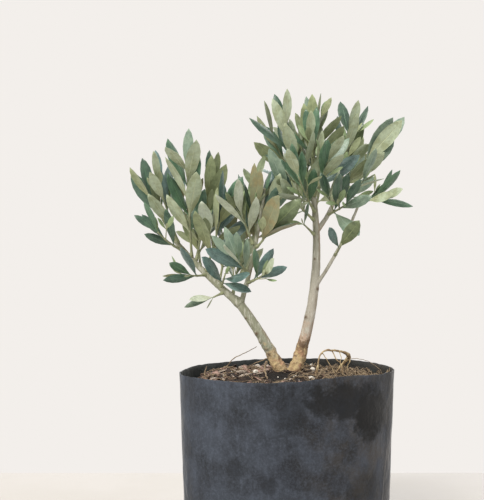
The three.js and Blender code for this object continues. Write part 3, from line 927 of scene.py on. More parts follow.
class MaterialSheet(Sheet):
    """The sheet of one material, with its shader and its Object coordinates at hand."""

    def __init__(self, name: str, effects: SharedEffects) -> None:
        """Starts the material.

        Args:
            name: Its name.
            effects: The shared groups.
        """
        self.material, self.effects = bpy.data.materials.new(name), effects
        self.material.use_nodes = True
        super().__init__(self.material.node_tree)
        self.place = self.value("ShaderNodeTexCoord", {}, "Object")

    def shade(self, inputs: dict[str, Any]) -> None:
        """Feeds inputs of the shader by name."""
        shader = self.tree.nodes["Principled BSDF"]
        for name, value in inputs.items():
            self.feed(shader.inputs[name], value)

    def stretched(self, *scale: float, shift: Sequence[float] = (0.0, 0.0, 0.0)) -> Value:
        """Returns the coordinates scaled along x, y and z, and shifted."""
        inputs = {"Vector": self.place, "Location": shift, "Scale": scale}
        return self.value("ShaderNodeMapping", inputs)

    def mottled(self, place: Value, ground: int, patch: int, scale: float, low: float, high: float,
                amount: float = 1.0) -> Value:
        """Returns a ground colour with patches of another.

        Args:
            place: Coordinates that the patches lie on.
            ground: Colour of the ground.
            patch: Colour of the patches.
            scale: Scale of the noise.
            low: Noise where the patches begin.
            high: Noise where they are full.
            amount: Share of the patch colour there.

        Returns:
            The colour.
        """
        inputs = {"Vector": place, "Ground": ground, "Patch": patch, "Scale": scale, "Low": low,
                  "High": high, "Amount": amount}
        return self.value("ShaderNodeGroup", inputs, node_tree=self.effects.mottle)

    def raise_relief(self, height: Value, depth: float, strength: float = 1.0) -> None:
        """Bends the shader's light by a height that is so many metres deep."""
        inputs = {"Strength": strength, "Distance": depth, "Height": height}
        self.shade({"Normal": self.value("ShaderNodeBump", inputs)})

    def grained(self, place: Value, scale: float, depth: float, fine: float = 0.4) -> None:
        """Gives the surface a grain, its depth in metres and its finer part as a share."""
        inputs = {"Vector": place, "Scale": scale, "Fine": fine}
        height = self.value("ShaderNodeGroup", inputs, node_tree=self.effects.grain)
        self.raise_relief(height, depth)


# Finishes
@dataclass(frozen=True)
class Finish:
    """A mottled finish with a grain, and what every other finish has too."""

    name: str
    ground: int
    patch: int
    roughness: float
    scale: float = 420.0
    low: float = 0.38
    high: float = 0.62
    grain: float = 1050.0
    depth: float = 0.0003
    fine: float = 0.4

    def build(self, effects: SharedEffects) -> bpy.types.Material:
        """Builds the material."""
        sheet = MaterialSheet(self.name, effects)
        self.paint(sheet)
        return sheet.material

    def paint(self, sheet: MaterialSheet) -> None:
        """Feeds the shader its colour, its roughness and its grain."""
        sheet.shade({"Base Color": self.colour(sheet), "Roughness": self.roughness})
        if self.depth:
            sheet.grained(sheet.place, self.grain, self.depth, self.fine)

    def colour(self, sheet: MaterialSheet) -> Value:
        """Mottles the ground with the patch colour."""
        return sheet.mottled(sheet.place, self.ground, self.patch, self.scale, self.low, self.high)


@dataclass(frozen=True)
class LeafFinish(Finish):
    """One side of a leaf: a plain colour that turns towards its foot, with its veins."""

    scale: float = 150.0
    low: float = 0.4
    rib: int = 0x9AA584
    foot: int = 0x7C7F59
    foot_share: float = 0.35
    veins: float = 0.2
    sheen: float = 0.0

    def paint(self, sheet: MaterialSheet) -> None:
        """Turns the tint towards the foot, grains it, and draws the veins.

        Args:
            sheet: Sheet of the material.
        """
        uv = sheet.value("ShaderNodeUVMap", {}, uv_map="blade")
        turn = sheet.split(uv)[1].ramp(0.12, 0.62, self.foot_share, 0.0)
        tint = sheet.mix(turn, self.colour(sheet), self.foot)
        grain = sheet.noise(sheet.place, 520.0).ramp(0.3, 0.7, 0.9, 1.1)
        blade = sheet.mix(1.0, tint, grain, "MULTIPLY")
        inputs = {"UV": uv, "Blade": blade, "Rib": self.rib, "Vein Strength": self.veins}
        colour, height = sheet.add("ShaderNodeGroup", inputs, node_tree=sheet.effects.veins)
        rough = sheet.noise(sheet.place, 900.0)
        rough = rough.ramp(0.3, 0.7, self.roughness - 0.07, self.roughness + 0.07)
        sheet.shade({
            "Base Color": Value(sheet, colour), "Roughness": rough, "Sheen Weight": self.sheen,
        })
        sheet.raise_relief(Value(sheet, height), 0.00025, 0.6)


@dataclass(frozen=True)
class BarkFinish(Finish):
    """Smooth grey-green bark with a tan, peeling foot, dark knots and pale pruned ends, and painted
    brown shade on the side that faces +X.
    """

    scale: float = 260.0
    low: float = 0.42
    grain: float = 700.0
    depth: float = 0.0004
    foot: int = 0xB8A37A
    foot_dark: int = 0x7C6048
    foot_red: int = 0xAA8468
    warm: int = 0xB3A99C
    halo: int = 0xB5967D
    knot: int = 0x5E4A36
    cut: int = 0xC9BC96
    streak: int = 0xBDBCB0
    green: int = 0x848770
    # Painted shade: the brown laid on the side that faces +X, away from the key lamp
    brown: int = 0x8A7258
    speck: int = 0x7A6A4E
    foot_top: float = 0.141

    def paint(self, sheet: MaterialSheet) -> None:
        """Paints the upper bark and its foot, then the ring, streaks, painted brown shade on the +X
        side, specks and marks.

        Args:
            sheet: Sheet of the material.
        """
        place, top = sheet.place, self.foot_top
        tall = sheet.stretched(1.0, 1.0, 0.22)
        x, _, z = sheet.split(place)
        right = x.ramp(0.0, 0.003)
        level = z + (sheet.noise(place, 190.0) - 0.5) * 0.032 - right * 0.005
        at_foot = level.ramp(top - 0.008, top + 0.002, 1.0, 0.0)
        upper = sheet.lay(
            sheet.mottled(tall, self.ground, self.patch, self.scale, self.low, self.high),
            (x.ramp(-0.014, 0.006, 0.8, 0.0), self.green),
            (level.ramp(0.15, 0.2, 0.5, 0.0) * right, self.warm),
            (level.ramp(top, top + 0.012, 0.6, 0.0) * right, self.halo),
        )
        reddish = sheet.noise(place, 240.0, 4.0, 0.65).ramp(0.5, 0.62, 0.0, 0.75)
        foot = sheet.mottled(place, self.foot, self.foot_dark, 330.0, 0.44, 0.64, 0.85)
        foot = sheet.mix(reddish, foot, self.foot_red)
        ring = level.ramp(top - 0.009, top - 0.005)
        ring = ring * level.ramp(top - 0.003, top + 0.001, 0.85, 0.0)
        ring = ring * sheet.noise(place, 130.0).ramp(0.4, 0.55) * right
        streak = sheet.noise(tall, 620.0).ramp(0.5, 0.66, 0.0, 0.6)
        streak = streak * at_foot.ramp(0.0, 1.0, 1.0, 0.15)
        # Painted shade: where the surface faces +X, mottled brown is laid as if in shade
        east = sheet.split(sheet.value("ShaderNodeNewGeometry", {}, "Normal"))[0].ramp(0.25, 0.95)
        painted_right_shade = east * sheet.noise(tall, 150.0, 4.0, 0.6).ramp(0.42, 0.56, 0.0, 0.7)
        speck = sheet.value("ShaderNodeTexVoronoi", {"Vector": place, "Scale": 520.0}, "Distance")
        knots, ends = (
            sheet.value("ShaderNodeAttribute", {}, "Fac", attribute_name=name)
            for name in ("knot", "cut")
        )
        colour = sheet.lay(
            upper, (at_foot, foot), (ring, self.knot), (streak, self.streak), (painted_right_shade, self.brown),
            (speck.ramp(0.06, 0.16, 0.5, 0.0), self.speck), (knots, self.knot), (ends, self.cut),
        )
        rough = at_foot.ramp(0.0, 1.0, self.roughness, 0.9)
        sheet.shade({"Base Color": colour, "Roughness": rough})
        sheet.grained(tall, self.grain, self.depth)


@dataclass(frozen=True)
class FilmFinish(Finish):
    """Black bag film under a bluish bloom of dust with painted light on its left, rubbed off in
    smooth dark patches, with painted shade bands and a painted reflection strip at its sides.
    """

    scale: float = 34.0
    low: float = 0.36
    high: float = 0.66
    grain: float = 120.0
    depth: float = 0.0009
    fine: float = 0.18
    # Dark: the rubbed film, and painted shade in upright bands near the sides
    dark: int = 0x090A0B
    # Pale bloom: dust, and painted light on the left side
    bloom: int = 0x545C69
    grit: int = 0x3B3733
    # Painted reflection: the pale strip along the sides' edges
    side: int = 0x5A5E5D
    dusty: float = 0.38
    specular: float = 0.25
    sheen: float = 0.35
    sheen_roughness: float = 0.22
    is_wall: bool = True
    # x, z, half width, half height and strength of each patch on the front, in metres
    patches: tuple[tuple[float, float, float, float, float], ...] = (
        (0.051, 0.104, 0.013, 0.018, 0.95), (0.034, 0.114, 0.029, 0.012, 0.8),
        (0.0, 0.107, 0.010, 0.014, 0.45), (-0.034, 0.071, 0.0056, 0.0068, 0.5),
        (-0.013, 0.062, 0.005, 0.005, 0.42), (0.046, 0.055, 0.011, 0.016, 0.35),
        (-0.045, 0.030, 0.012, 0.010, 0.4), (0.020, 0.024, 0.016, 0.008, 0.4),
    )

    def wear_and_paint_side_light_and_shade(self, sheet: MaterialSheet, colour: Value, streaks: Value) -> Value:
        """Rubs the wall dark and smooth in places, paints dark shade bands near its sides, and
        paints a pale reflection strip along their edges.

        Args:
            sheet: Sheet of the material.
            colour: Colour of the dusty film.
            streaks: Coordinates of upright streaks.

        Returns:
            The colour of the worn film.
        """
        x, y, z = sheet.split(sheet.place)
        warp = (sheet.noise(sheet.place, 150.0, 5.0, 0.75) - 0.5) * 3.4
        rubbed = []
        for middle, height, wide, high, strength in self.patches:
            across, up = (x - middle) / wide, (z - height) / high
            rubbed.append((across * across + up * up + warp).ramp(0.35, 1.5, strength, 0.0))
        for mask in rubbed[1:]:
            rubbed[0] = rubbed[0].most(mask)
        out = sheet.math("ABSOLUTE", x) * z.ramp(0.0, 0.125, 1.047, 1.0)
        # Painted shade: dark upright bands just inside the sides' edges
        painted_shade_band = out.ramp(0.0595, 0.0645) * out.ramp(0.0655, 0.0685, 1.0, 0.0)
        painted_shade_band = painted_shade_band * sheet.noise(streaks, 55.0, 4.0, 0.6).ramp(0.38, 0.62, 0.1, 0.6)
        # Painted reflection: a pale satin strip along the sides' edges
        painted_side_reflection = sheet.noise(streaks, 130.0, 4.0, 0.6).ramp(0.4, 0.6, 0.0, 0.3)
        return sheet.lay(
            colour,
            ((rubbed[0] * y.ramp(-0.03, -0.01, 1.0, 0.0)).most(painted_shade_band), self.dark),
            (out.ramp(0.0665, 0.0695) * painted_side_reflection, self.side),
        )

    def paint(self, sheet: MaterialSheet) -> None:
        """Dusts the film with painted light on its left, wears its outside with painted shade and
        reflection at its sides, and lets its sheen shine softly at its sides.

        Args:
            sheet: Sheet of the material.
        """
        place, streaks = sheet.place, sheet.stretched(1.0, 1.0, 0.3)
        x = sheet.split(place)[0]
        specks = sheet.noise(place, 620.0, 6.0, 0.85).ramp(0.42, 0.68, 0.0, 0.8)
        clouds = sheet.noise(place, 62.0, 4.0).ramp(0.36, 0.7, 0.0, 0.7)
        drifts = sheet.noise(streaks, 240.0, 5.0, 0.7).ramp(0.46, 0.7, 0.0, 0.4)
        # Dust in specks, drifts and clouds, plus painted light: more pale bloom towards the left,
        # as if lit by the key lamp
        dust_and_painted_light = (specks + drifts + clouds + x.ramp(-0.065, 0.02, 0.35, 0.0)) * self.dusty
        east = x.ramp(-0.01, 0.05) * sheet.noise(place, 70.0, 4.0).ramp(0.4, 0.6, 0.2, 0.8)
        colour = sheet.lay(self.colour(sheet), (east, self.grit), (dust_and_painted_light, self.bloom))
        if self.is_wall:
            colour = self.wear_and_paint_side_light_and_shade(sheet, colour, streaks)
        rough = dust_and_painted_light + sheet.noise(place, 60.0)
        sheet.shade({
            "Base Color": colour,
            "Roughness": rough.ramp(0.35, 1.3, self.roughness - 0.08, self.roughness + 0.2),
            "Specular IOR Level": self.specular,
            "Sheen Weight": self.sheen,
            "Sheen Roughness": self.sheen_roughness,
        })
        sheet.grained(place, self.grain, self.depth, self.fine)


@dataclass(frozen=True)
class CompostFinish(Finish):
    """Damp composted bark: near black, with brown crumbs and painted shade in the hollow."""

    scale: float = 210.0
    grain: float = 800.0
    depth: float = 0.0012
    fine: float = 0.6
    crumb: int = 0x7A5F4A
    # Painted shade: the near black laid in the hollow in front of the stems
    hollow: int = 0x0E0A08

    def colour(self, sheet: MaterialSheet) -> Value:
        """Lays the crumbs, and painted near-black shade in the hollow, over the mottled ground.

        Args:
            sheet: Sheet of the material.

        Returns:
            The colour.
        """
        crumbs = sheet.noise(sheet.place, 760.0, 4.0, 0.7).ramp(0.56, 0.7, 0.0, 0.5)
        # Painted shade: the hollow at about x -5, y -19 mm is laid near black
        hole = sheet.stretched(62.0, 56.0, 0.0, shift=(0.31, 1.04, 0.0))
        reach = sheet.value("ShaderNodeVectorMath", {0: hole}, "Value", operation="LENGTH")
        layers = (crumbs, self.crumb), (reach.ramp(0.55, 1.05, 0.88, 0.0), self.hollow)
        return sheet.lay(super().colour(sheet), *layers)


UPPER_TINTS = tuple(
    LeafFinish("leaf_upper_" + name, ground, patch, rough, rib=rib, foot=foot)
    for name, ground, patch, rough, rib, foot in (
        ("blue", 0x607A76, 0x4D6460, 0.33, 0x6E867E, 0x67786A),
        ("deep", 0x486150, 0x364D40, 0.34, 0x56745D, 0x54684E),
        ("grey", 0x80937F, 0x667B6B, 0.4, 0x8B9E8C, 0x818C72),
        ("green", 0x55755B, 0x425E4A, 0.36, 0x668667, 0x627553),
        ("olive", 0x707D5C, 0x586448, 0.38, 0x7F8C62, 0x76754E),
    )
)
UNDER_TINTS = tuple(
    LeafFinish(
        "leaf_under_" + name, ground, patch, rough, rib=rib, foot=foot, veins=0.08, sheen=0.2,
    )
    for name, ground, patch, rough, rib, foot in (
        ("sage", 0xADB99E, 0x97A07F, 0.74, 0xB6BE9B, 0xA3A16D),
        ("olive", 0x8B966F, 0x76805B, 0.76, 0x919A70, 0x8F8755),
        ("brown", 0x7A7E5F, 0x827A55, 0.78, 0x8A8763, 0x83754D),
        ("pale", 0xBFC8B4, 0xA9B39A, 0.76, 0xC6CEB4, 0xB4B28C),
    )
)
BROWN_TINT = 2
YOUNG_TINTS = (
    LeafFinish("leaf_young_upper", 0x8C9F75, 0x788C66, 0.55, rib=0x9CAA7B, foot=0x939D6E),
    LeafFinish(
        "leaf_young_under", 0xA6AF88, 0x939C77, 0.75, rib=0xB2B88E, foot=0xA1A36E, sheen=0.2,
    ),
)
TWIG_BARK = Finish("twig_bark", 0x979C79, 0x83876A, 0.7, 220.0, 0.4, 0.6, 900.0, 0.0001)
BARK = BarkFinish("smooth_bark", 0xA5A396, 0x8A8878, 0.74)
FILM = (
    FilmFinish("film_outside", 0x1F2228, 0x131518, 0.55),
    FilmFinish(
        "film_inside", 0x3B3F3E, 0x2C2F2F, 0.5, bloom=0x565B5A, dusty=0.15, is_wall=False,
    ),
)
COMPOST = CompostFinish("compost", 0x261D18, 0x392B23, 0.95)
CHIP_TINTS = (
    Finish("chip_rose", 0xA98C80, 0x83675A, 0.88),
    Finish("chip_brown", 0x77604F, 0x574234, 0.9),
    Finish("chip_grey", 0xA39689, 0x7F7266, 0.9),
    Finish("chip_dark", 0x3A2B22, 0x281D17, 0.92),
)
PERLITE = Finish("perlite", 0xE6E2D8, 0xC9C3B6, 0.85, 700.0, grain=1750.0)
FIBRE = Finish("fibre", 0x98866C, 0x6C5B48, 0.88, 600.0, grain=1500.0, depth=0.0001)
ROOT = Finish("root_skin", 0xC3B086, 0x8C7456, 0.84, 300.0, grain=750.0)
FLOOR = Finish("pale_floor", 0xC8C5C1, 0xC4C1BC, 0.6, 6.0, 0.4, 0.6, depth=0.0)


# Meshes
class Slot(Enum):
    """Names of material slots."""

    FILM = "bag_film"
    COMPOST = "compost"
    BARK = "bark"
    ROOT = "root"
    FOLIAGE = "foliage"


def put(name: str, data: Any) -> bpy.types.Object:
    """Puts a mesh, a lamp or a camera in the scene as an object of its own."""
    made = bpy.data.objects.new(name, data)
    bpy.context.scene.collection.objects.link(made)
    return made


def dress(mesh: bpy.types.Mesh, name: str, finishes: Iterable[Finish], effects: SharedEffects,
          nodes: Sequence[str]) -> None:
    """Makes a piece of a mesh, dresses it and rides it on the body.

    Args:
        mesh: The mesh, in metres.
        name: Name of the piece.
        finishes: Its finishes, in the order of the faces' material numbers.
        effects: The shared groups.
        nodes: CAD nodes that it stands for.
    """
    piece = put(name, mesh)
    for finish in finishes:
        mesh.materials.append(finish.build(effects))
    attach(piece, BODY)
    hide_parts(*nodes)
    log.info("%s: %d faces, replaces %s", name, len(mesh.polygons), ", ".join(nodes))


class Template:
    """A closed tube of rings, made once with mesh operators and repeated as arrays."""

    def __init__(self, sides: int, rings: int, is_mirrored: bool = False) -> None:
        """Draws a circle out along +Z and closes its ends.

        Args:
            sides: Points in a ring.
            rings: Rings in the tube.
            is_mirrored: Whether its copies are laid out mirrored, so that its faces turn round.
        """
        bm = bmesh.new()
        bmesh.ops.create_circle(bm, segments=sides, radius=1.0)
        edges = list(bm.edges)
        for _ in range(rings - 1):
            made = bmesh.ops.extrude_edge_only(bm, edges=edges)["geom"]
            verts = [v for v in made if isinstance(v, bmesh.types.BMVert)]
            bmesh.ops.translate(bm, verts=verts, vec=(0.0, 0.0, 1.0))
            edges = [e for e in made if isinstance(e, bmesh.types.BMEdge) and e.is_boundary]
        bmesh.ops.holes_fill(bm, edges=[e for e in bm.edges if e.is_boundary], sides=0)
        bmesh.ops.recalc_face_normals(bm, faces=bm.faces)
        if is_mirrored:
            bmesh.ops.reverse_faces(bm, faces=bm.faces)
        bm.verts.index_update()
        points = np.array([v.co[:] for v in bm.verts])
        self.sides, self.rings = sides, rings
        self.ring = np.rint(points[:, 2]).astype(int)
        angle = np.arctan2(points[:, 1], points[:, 0])
        self.spot = np.rint((angle - angle[0]) / FULL_TURN * sides).astype(int) % sides
        self.angle = self.spot * (FULL_TURN / sides)
        self.bearing = (self.angle + math.pi) % FULL_TURN - math.pi
        self.faces = [[v.index for v in face.verts] for face in bm.faces]
        self.face_ring = np.array([self.ring[face].min() for face in self.faces])
        self.face_spot = np.array([self.lowest_spot(face) for face in self.faces])
        bm.free()

    def lowest_spot(self, face: Sequence[int]) -> int:
        """Returns the first of the two spots that a side face lies between."""
        spots = sorted({int(self.spot[v]) for v in face})
        return spots[-1] if spots == [0, self.sides - 1] else spots[0]

    def tube(self, path: Array, radii: Array) -> Array:
        """Lays the template round a path.

        Args:
            path: One point for each ring.
            radii: One radius for each ring.

        Returns:
            A point for each of the template's points.
        """
        ahead = np.gradient(path, axis=0)
        ahead /= np.linalg.norm(ahead, axis=1)[:, None]
        left = np.empty_like(path)
        side = np.array([0.0, 0.0, 1.0]) if abs(ahead[0][2]) < 0.8 else np.array([1.0, 0.0, 0.0])
        for i, way in enumerate(ahead):
            side = side - way * (side @ way)
            side = side / np.linalg.norm(side)
            left[i] = side
        over = np.cross(ahead, left)
        ring, across, up = self.ring, np.cos(self.angle)[:, None], np.sin(self.angle)[:, None]
        return path[ring] + (left[ring] * across + over[ring] * up) * radii[ring][:, None]


class Joined:
    """Collects many copies of templates and joins them in one mesh."""

    def __init__(self) -> None:
        """Starts empty."""
        self.points: list[Array] = []
        self.faces: list[list[int]] = []
        self.looks: list[int] = []
        self.uv: list[Array] = []
        self.marks: list[Array] = []
        self.count = 0

    def add(self, template: Template, points: Array, looks: Any = 0, uv: Array | None = None,
            sharp: Array | None = None) -> None:
        """Adds one copy.

        Args:
            template: The template whose faces it has.
            points: Where its points lie, in millimetres.
            looks: Material number, or one for each face.
            uv: Two numbers for each point.
            sharp: A number for each point: the same one along each sharp edge, 0 elsewhere.
        """
        self.faces.extend([v + self.count for v in face] for face in template.faces)
        self.looks.extend(np.broadcast_to(np.asarray(looks), (len(template.faces),)).tolist())
        self.points.append(points)
        self.uv.append(np.zeros((len(points), 2)) if uv is None else uv)
        self.marks.append(np.zeros(len(points), int) if sharp is None else sharp)
        self.count += len(points)

    def mesh(self, name: str, is_smooth: bool = True) -> bpy.types.Mesh:
        """Joins what was collected.

        Args:
            name: The mesh's name.
            is_smooth: Whether its faces are shaded smooth.

        Returns:
            The mesh, in metres.
        """
        mesh = bpy.data.meshes.new(name)
        mesh.from_pydata((np.vstack(self.points) * MM).tolist(), [], self.faces)
        mesh.polygons.foreach_set("material_index", self.looks)
        mesh.polygons.foreach_set("use_smooth", [is_smooth] * len(self.faces))
        corners = np.zeros(len(mesh.loops), int)
        mesh.loops.foreach_get("vertex_index", corners)
        layer = mesh.uv_layers.new(name="blade")
        layer.data.foreach_set("uv", np.vstack(self.uv)[corners].ravel())
        marks = np.concatenate(self.marks)
        if marks.any():
            ends = np.zeros(len(mesh.edges) * 2, int)
            mesh.edges.foreach_get("vertices", ends)
            ends = marks[ends.reshape(-1, 2)]
            sharp = (ends[:, 0] > 0) & (ends[:, 0] == ends[:, 1])
            mesh.attributes.new("sharp_edge", "BOOLEAN", "EDGE").data.foreach_set("value", sharp)
        mesh.update()
        return mesh


def smooth_path(points: Sequence[Sequence[float]], count: int) -> Array:
    """Draws a smooth curve through points.

    Args:
        points: Points that the curve passes, in order.
        count: Number of points to return.

    Returns:
        Points along the curve.
    """
    knots = np.array(points, float)
    knots = np.vstack([2 * knots[0] - knots[1], knots, 2 * knots[-1] - knots[-2]])
    places = np.linspace(0, len(points) - 1, count)
    i = np.minimum(places.astype(int), len(points) - 2)
    t = (places - i)[:, None]
    a, b, c, d = (knots[i + k] for k in range(4))
    bend = (2 * a - 5 * b + 4 * c - d) * t ** 2 + (3 * b - a - 3 * c + d) * t ** 3
    return 0.5 * (2 * b + (c - a) * t + bend)


def crumple(points: Array, size: float, octaves: int = 3, seed: float = 0.0) -> Array:
    """Returns smooth noise at points, for waves about size millimetres long."""
    places = (Vector(place) for place in (points / size + seed).tolist())
    return np.array([noise.fractal(place, 0.6, 2.0, octaves) for place in places])


@dataclass
class Foliage:
    """Twigs and leaves of the whole plant, each kind joined in a piece of its own."""

    plant: Plant
    effects: SharedEffects
    full_leaf: float = 30.0
    stoutest: float = 1.1
    stalk: float = 0.42
    least_half: float = 0.12
    camber: float = 0.16
    camber_stray: float = 0.14
    camber_rise: float = 0.3
    collar: float = 0.5
    collar_reach: float = 1.4
    node_swell: float = 0.32
    node_reach: float = 0.9
    stem_sink: float = 1.6
    twig_sink: float = 0.4
    other_tint: float = 0.35
    # share of the length, thickness and stalk's thickness of each ring of a leaf
    stations: tuple[tuple[float, float, float], ...] = (
        (-0.03, 0.8, 1.15), (0.09, 0.75, 1), (0.2, 0.6, 0.8), (0.38, 0.5, 0),
        (0.57, 0.45, 0), (0.75, 0.4, 0), (0.9, 0.32, 0), (1.0, 0.2, 0),
    )

    def leaf_points(self, leaf: Leaf, template: Template, camber: float) -> tuple[Array, Array]:
        """Lays the leaf template along a leaf.

        Args:
            leaf: The leaf as it grew.
            template: Six points to a ring: edge, two above, edge, two below.
            camber: How far the margins bend down, as a share of the half width.

        Returns:
            The points and their places on the blade's UV map.
        """
        s, thick, stalk = np.array(self.stations).T
        share = np.array([1.0, 0.5, -0.5, -1.0, -0.5, 0.5])[template.spot]
        face = np.array([0.0, 1.0, 1.0, 0.0, -1.0, -1.0])[template.spot]
        size, ring = leaf.length / self.full_leaf, template.ring
        stalk = self.stalk * min(size ** 0.5, self.stoutest) * stalk
        half = np.maximum(leaf.half_width(s), np.maximum(stalk, self.least_half))[ring]
        thick = (thick * min(size, self.stoutest))[ring]
        lift = camber * (self.camber_rise - share ** 2) * half + face * thick / 2
        points = leaf.at(s)[ring] + leaf.side * (share * half)[:, None]
        points = points + leaf.normals(s)[ring] * lift[:, None]
        return points, np.stack([share / 2 + 0.5, s[ring]], 1)

    def leaves(self) -> None:
        """Joins every leaf, with plain base colours dealt out by spray and twig."""
        template = Template(6, len(self.stations), is_mirrored=True)
        draws = Draws(Seed.TINTS)
        joined = Joined()
        uppers, unders = len(UPPER_TINTS), len(UNDER_TINTS)
        tints: dict[tuple[int, int], tuple[int, int]] = {}
        above = template.face_spot < 3
        sharp = np.where(template.spot == 0, 1, np.where(template.spot == 3, 2, 0))
        for leaf in self.plant.leaves:
            key = (leaf.spray, leaf.twig)
            if key not in tints:
                under = int(draws.next() * unders)
                if under == BROWN_TINT and leaf.base[0] > 0:
                    under = 0
                tints[key] = (int(draws.next() * uppers), under)
            upper, under = tints[key]
            if draws.next() < self.other_tint:
                upper = int(draws.next() * uppers)
            under += uppers
            if leaf.young:
                upper, under = uppers + unders, uppers + unders + 1
            camber = self.camber + draws.spread(self.camber_stray)
            points, uv = self.leaf_points(leaf, template, camber)
            joined.add(template, points, np.where(above, upper, under), uv, sharp)
        tints_used = (*UPPER_TINTS, *UNDER_TINTS, *YOUNG_TINTS)
        mesh = joined.mesh("leaves")
        dress(mesh, "leaves", tints_used, self.effects, self.plant.masses)

    def twig_radii(self, twig: Limb, shares: Array, springs: bool) -> Array:
        """Swells a twig at its leaves and where it springs from a limb.

        Args:
            twig: The twig.
            shares: Shares of its length.
            springs: Whether it springs from a limb.

        Returns:
            The radius at each share.
        """
        radii = np.array([twig.radius(t) for t in shares])
        for node in twig.nodes:
            away = (shares - node) * twig.length / self.node_reach
            radii *= 1 + self.node_swell * np.exp(-(away ** 2))
        if springs:
            out = np.maximum(shares * twig.length, 0)
            radii *= 1 + self.collar * np.exp(-out / self.collar_reach)
        return radii

    def twigs(self) -> None:
        """Joins every twig, its root sunk in what bears it."""
        full, fine = Template(7, 26), Template(5, 8)
        joined = Joined()
        for spray in self.plant.sprays:
            for i, twig in enumerate(spray.twigs):
                shape = fine if twig.foot <= TWIG_TIP else full
                sink = (self.stem_sink if i == 0 else self.twig_sink) / twig.length
                shares = np.linspace(-sink, 1.0, shape.rings)
                path = np.array([twig.point(t) for t in shares])
                joined.add(shape, shape.tube(path, self.twig_radii(twig, shares, i == 0)))
        mesh = joined.mesh("twigs")
        dress(mesh, "twigs", [TWIG_BARK], self.effects, self.plant.masses)

    def build(self) -> None:
        """Builds the foliage."""
        self.leaves()
        self.twigs()


@dataclass
class BarkedLimbs:
    """Stems and boughs as one mesh with the bark's relief, knots and pruned ends."""

    plant: Plant
    effects: SharedEffects
    voxel: float = 0.42
    flare: float = 0.2
    flare_reach: float = 8.0
    collar: float = 0.3
    collar_reach: float = 2.2
    stem_sink: float = 3.5
    bough_sink: float = 1.0
    relief: float = 0.16
    relief_wave: float = 2.6
    knobs: float = 0.6
    knob_wave: float = 4.2
    rough_below: tuple[float, float] = (152.0, 136.0)
    # x, z and size of each knot on the front, and how far it stands out
    knots: tuple[tuple[float, float, float, float], ...] = (
        (-19.8, 149.9, 1.6, 0.5), (13.2, 160.7, 1.4, 0.45), (21.0, 179.6, 1.7, 0.35),
        (15.2, 217.2, 1.1, 0.6), (19.2, 199.7, 1.0, 0.25), (11.2, 142.3, 1.9, 0.3),
        (-11.6, 136.0, 1.4, 0.35), (-27.0, 160.0, 1.0, 0.25), (-46.0, 186.0, 1.1, 0.3),
    )

    def solid(self, limb: Limb, name: str) -> bpy.types.Object:
        """Bends a cone to a limb.

        Args:
            limb: The limb.
            name: Its name.

        Returns:
            A working object, to be joined.
        """
        is_stem = name.startswith("trunk")
        template = Template(20, max(14, int(limb.length / SAMPLE_STEP)))
        sink = (self.stem_sink if is_stem else self.bough_sink) / limb.length
        shares = np.linspace(-sink, 1.0, template.rings)
        radii = np.array([limb.radius(t) for t in shares])
        if is_stem:
            down = np.maximum(shares, 0.0) * limb.length
            radii = radii + limb.foot * self.flare * np.exp(-down / self.flare_reach)
        else:
            out = np.maximum(shares * limb.length - limb.foot, 0)
            radii = radii * (1 + self.collar * np.exp(-out / self.collar_reach))
        joined = Joined()
        joined.add(template, template.tube(np.array([limb.point(t) for t in shares]), radii))
        return put(name + "_working", joined.mesh(name))

    def fuse(self) -> bpy.types.Mesh:
        """Joins the limbs in one skin with a voxel remesh.

        Returns:
            The fused mesh.
        """
        solids = [self.solid(limb, name) for name, limb in self.plant.limbs.items()]
        whole = solids[0]
        with bpy.context.temp_override(active_object=whole, selected_editable_objects=solids,
                                       selected_objects=solids, object=whole):
            bpy.ops.object.join()
        remesh = whole.modifiers.new("skin", "REMESH")
        remesh.mode, remesh.voxel_size, remesh.use_smooth_shade = "VOXEL", self.voxel * MM, True
        smooth = whole.modifiers.new("settle", "SMOOTH")
        smooth.factor, smooth.iterations = 0.5, 3
        ready = whole.evaluated_get(bpy.context.evaluated_depsgraph_get())
        mesh = bpy.data.meshes.new_from_object(ready)
        bpy.data.objects.remove(whole)
        mesh.name = "barked_limbs"
        mesh.materials.clear()
        return mesh

    def carve(self, mesh: bpy.types.Mesh) -> None:
        """Raises the relief and marks knots and pruned ends for the bark's finish.

        Args:
            mesh: The fused mesh.
        """
        count = len(mesh.vertices)
        points, normals = np.zeros(count * 3), np.zeros(count * 3)
        mesh.vertices.foreach_get("co", points)
        mesh.vertices.foreach_get("normal", normals)
        points, normals = points.reshape(-1, 3) / MM, normals.reshape(-1, 3)
        foot = smoothstep(*self.rough_below, points[:, 2])
        furrows = crumple(points * [1.0, 1.0, 0.3], self.relief_wave, 4)
        height = self.relief * furrows * (1 + 1.6 * foot)
        height = height + self.knobs * foot * crumple(points, self.knob_wave, 2, 3.0)
        front = smoothstep(0.2, -0.5, normals[:, 1])
        knot, cut = np.zeros(count), np.zeros(count)
        for x, z, size, stand in self.knots:
            away = ((points[:, 0] - x) ** 2 + (points[:, 2] - z) ** 2) / size ** 2
            height = height + stand * np.exp(-away) * front
            knot = np.maximum(knot, np.exp(-away * 1.8) * front)
        for limb in self.plant.limbs.values():
            near = np.linalg.norm(points - limb.point(1.0), axis=1) < limb.tip * 1.25
            cut = np.maximum(cut, near * smoothstep(0.6, 0.85, normals @ limb.direction(1.0)))
        points = points + normals * height[:, None]
        mesh.vertices.foreach_set("co", (points * MM).ravel())
        for name, values in (("knot", knot), ("cut", cut)):
            mesh.attributes.new(name, "FLOAT", "POINT").data.foreach_set("value", values)
        mesh.update()

    def build(self) -> None:
        """Builds the barked limbs."""
        mesh = self.fuse()
        self.carve(mesh)
        dress(mesh, "barked_limbs", [BARK], self.effects, list(self.plant.limbs))


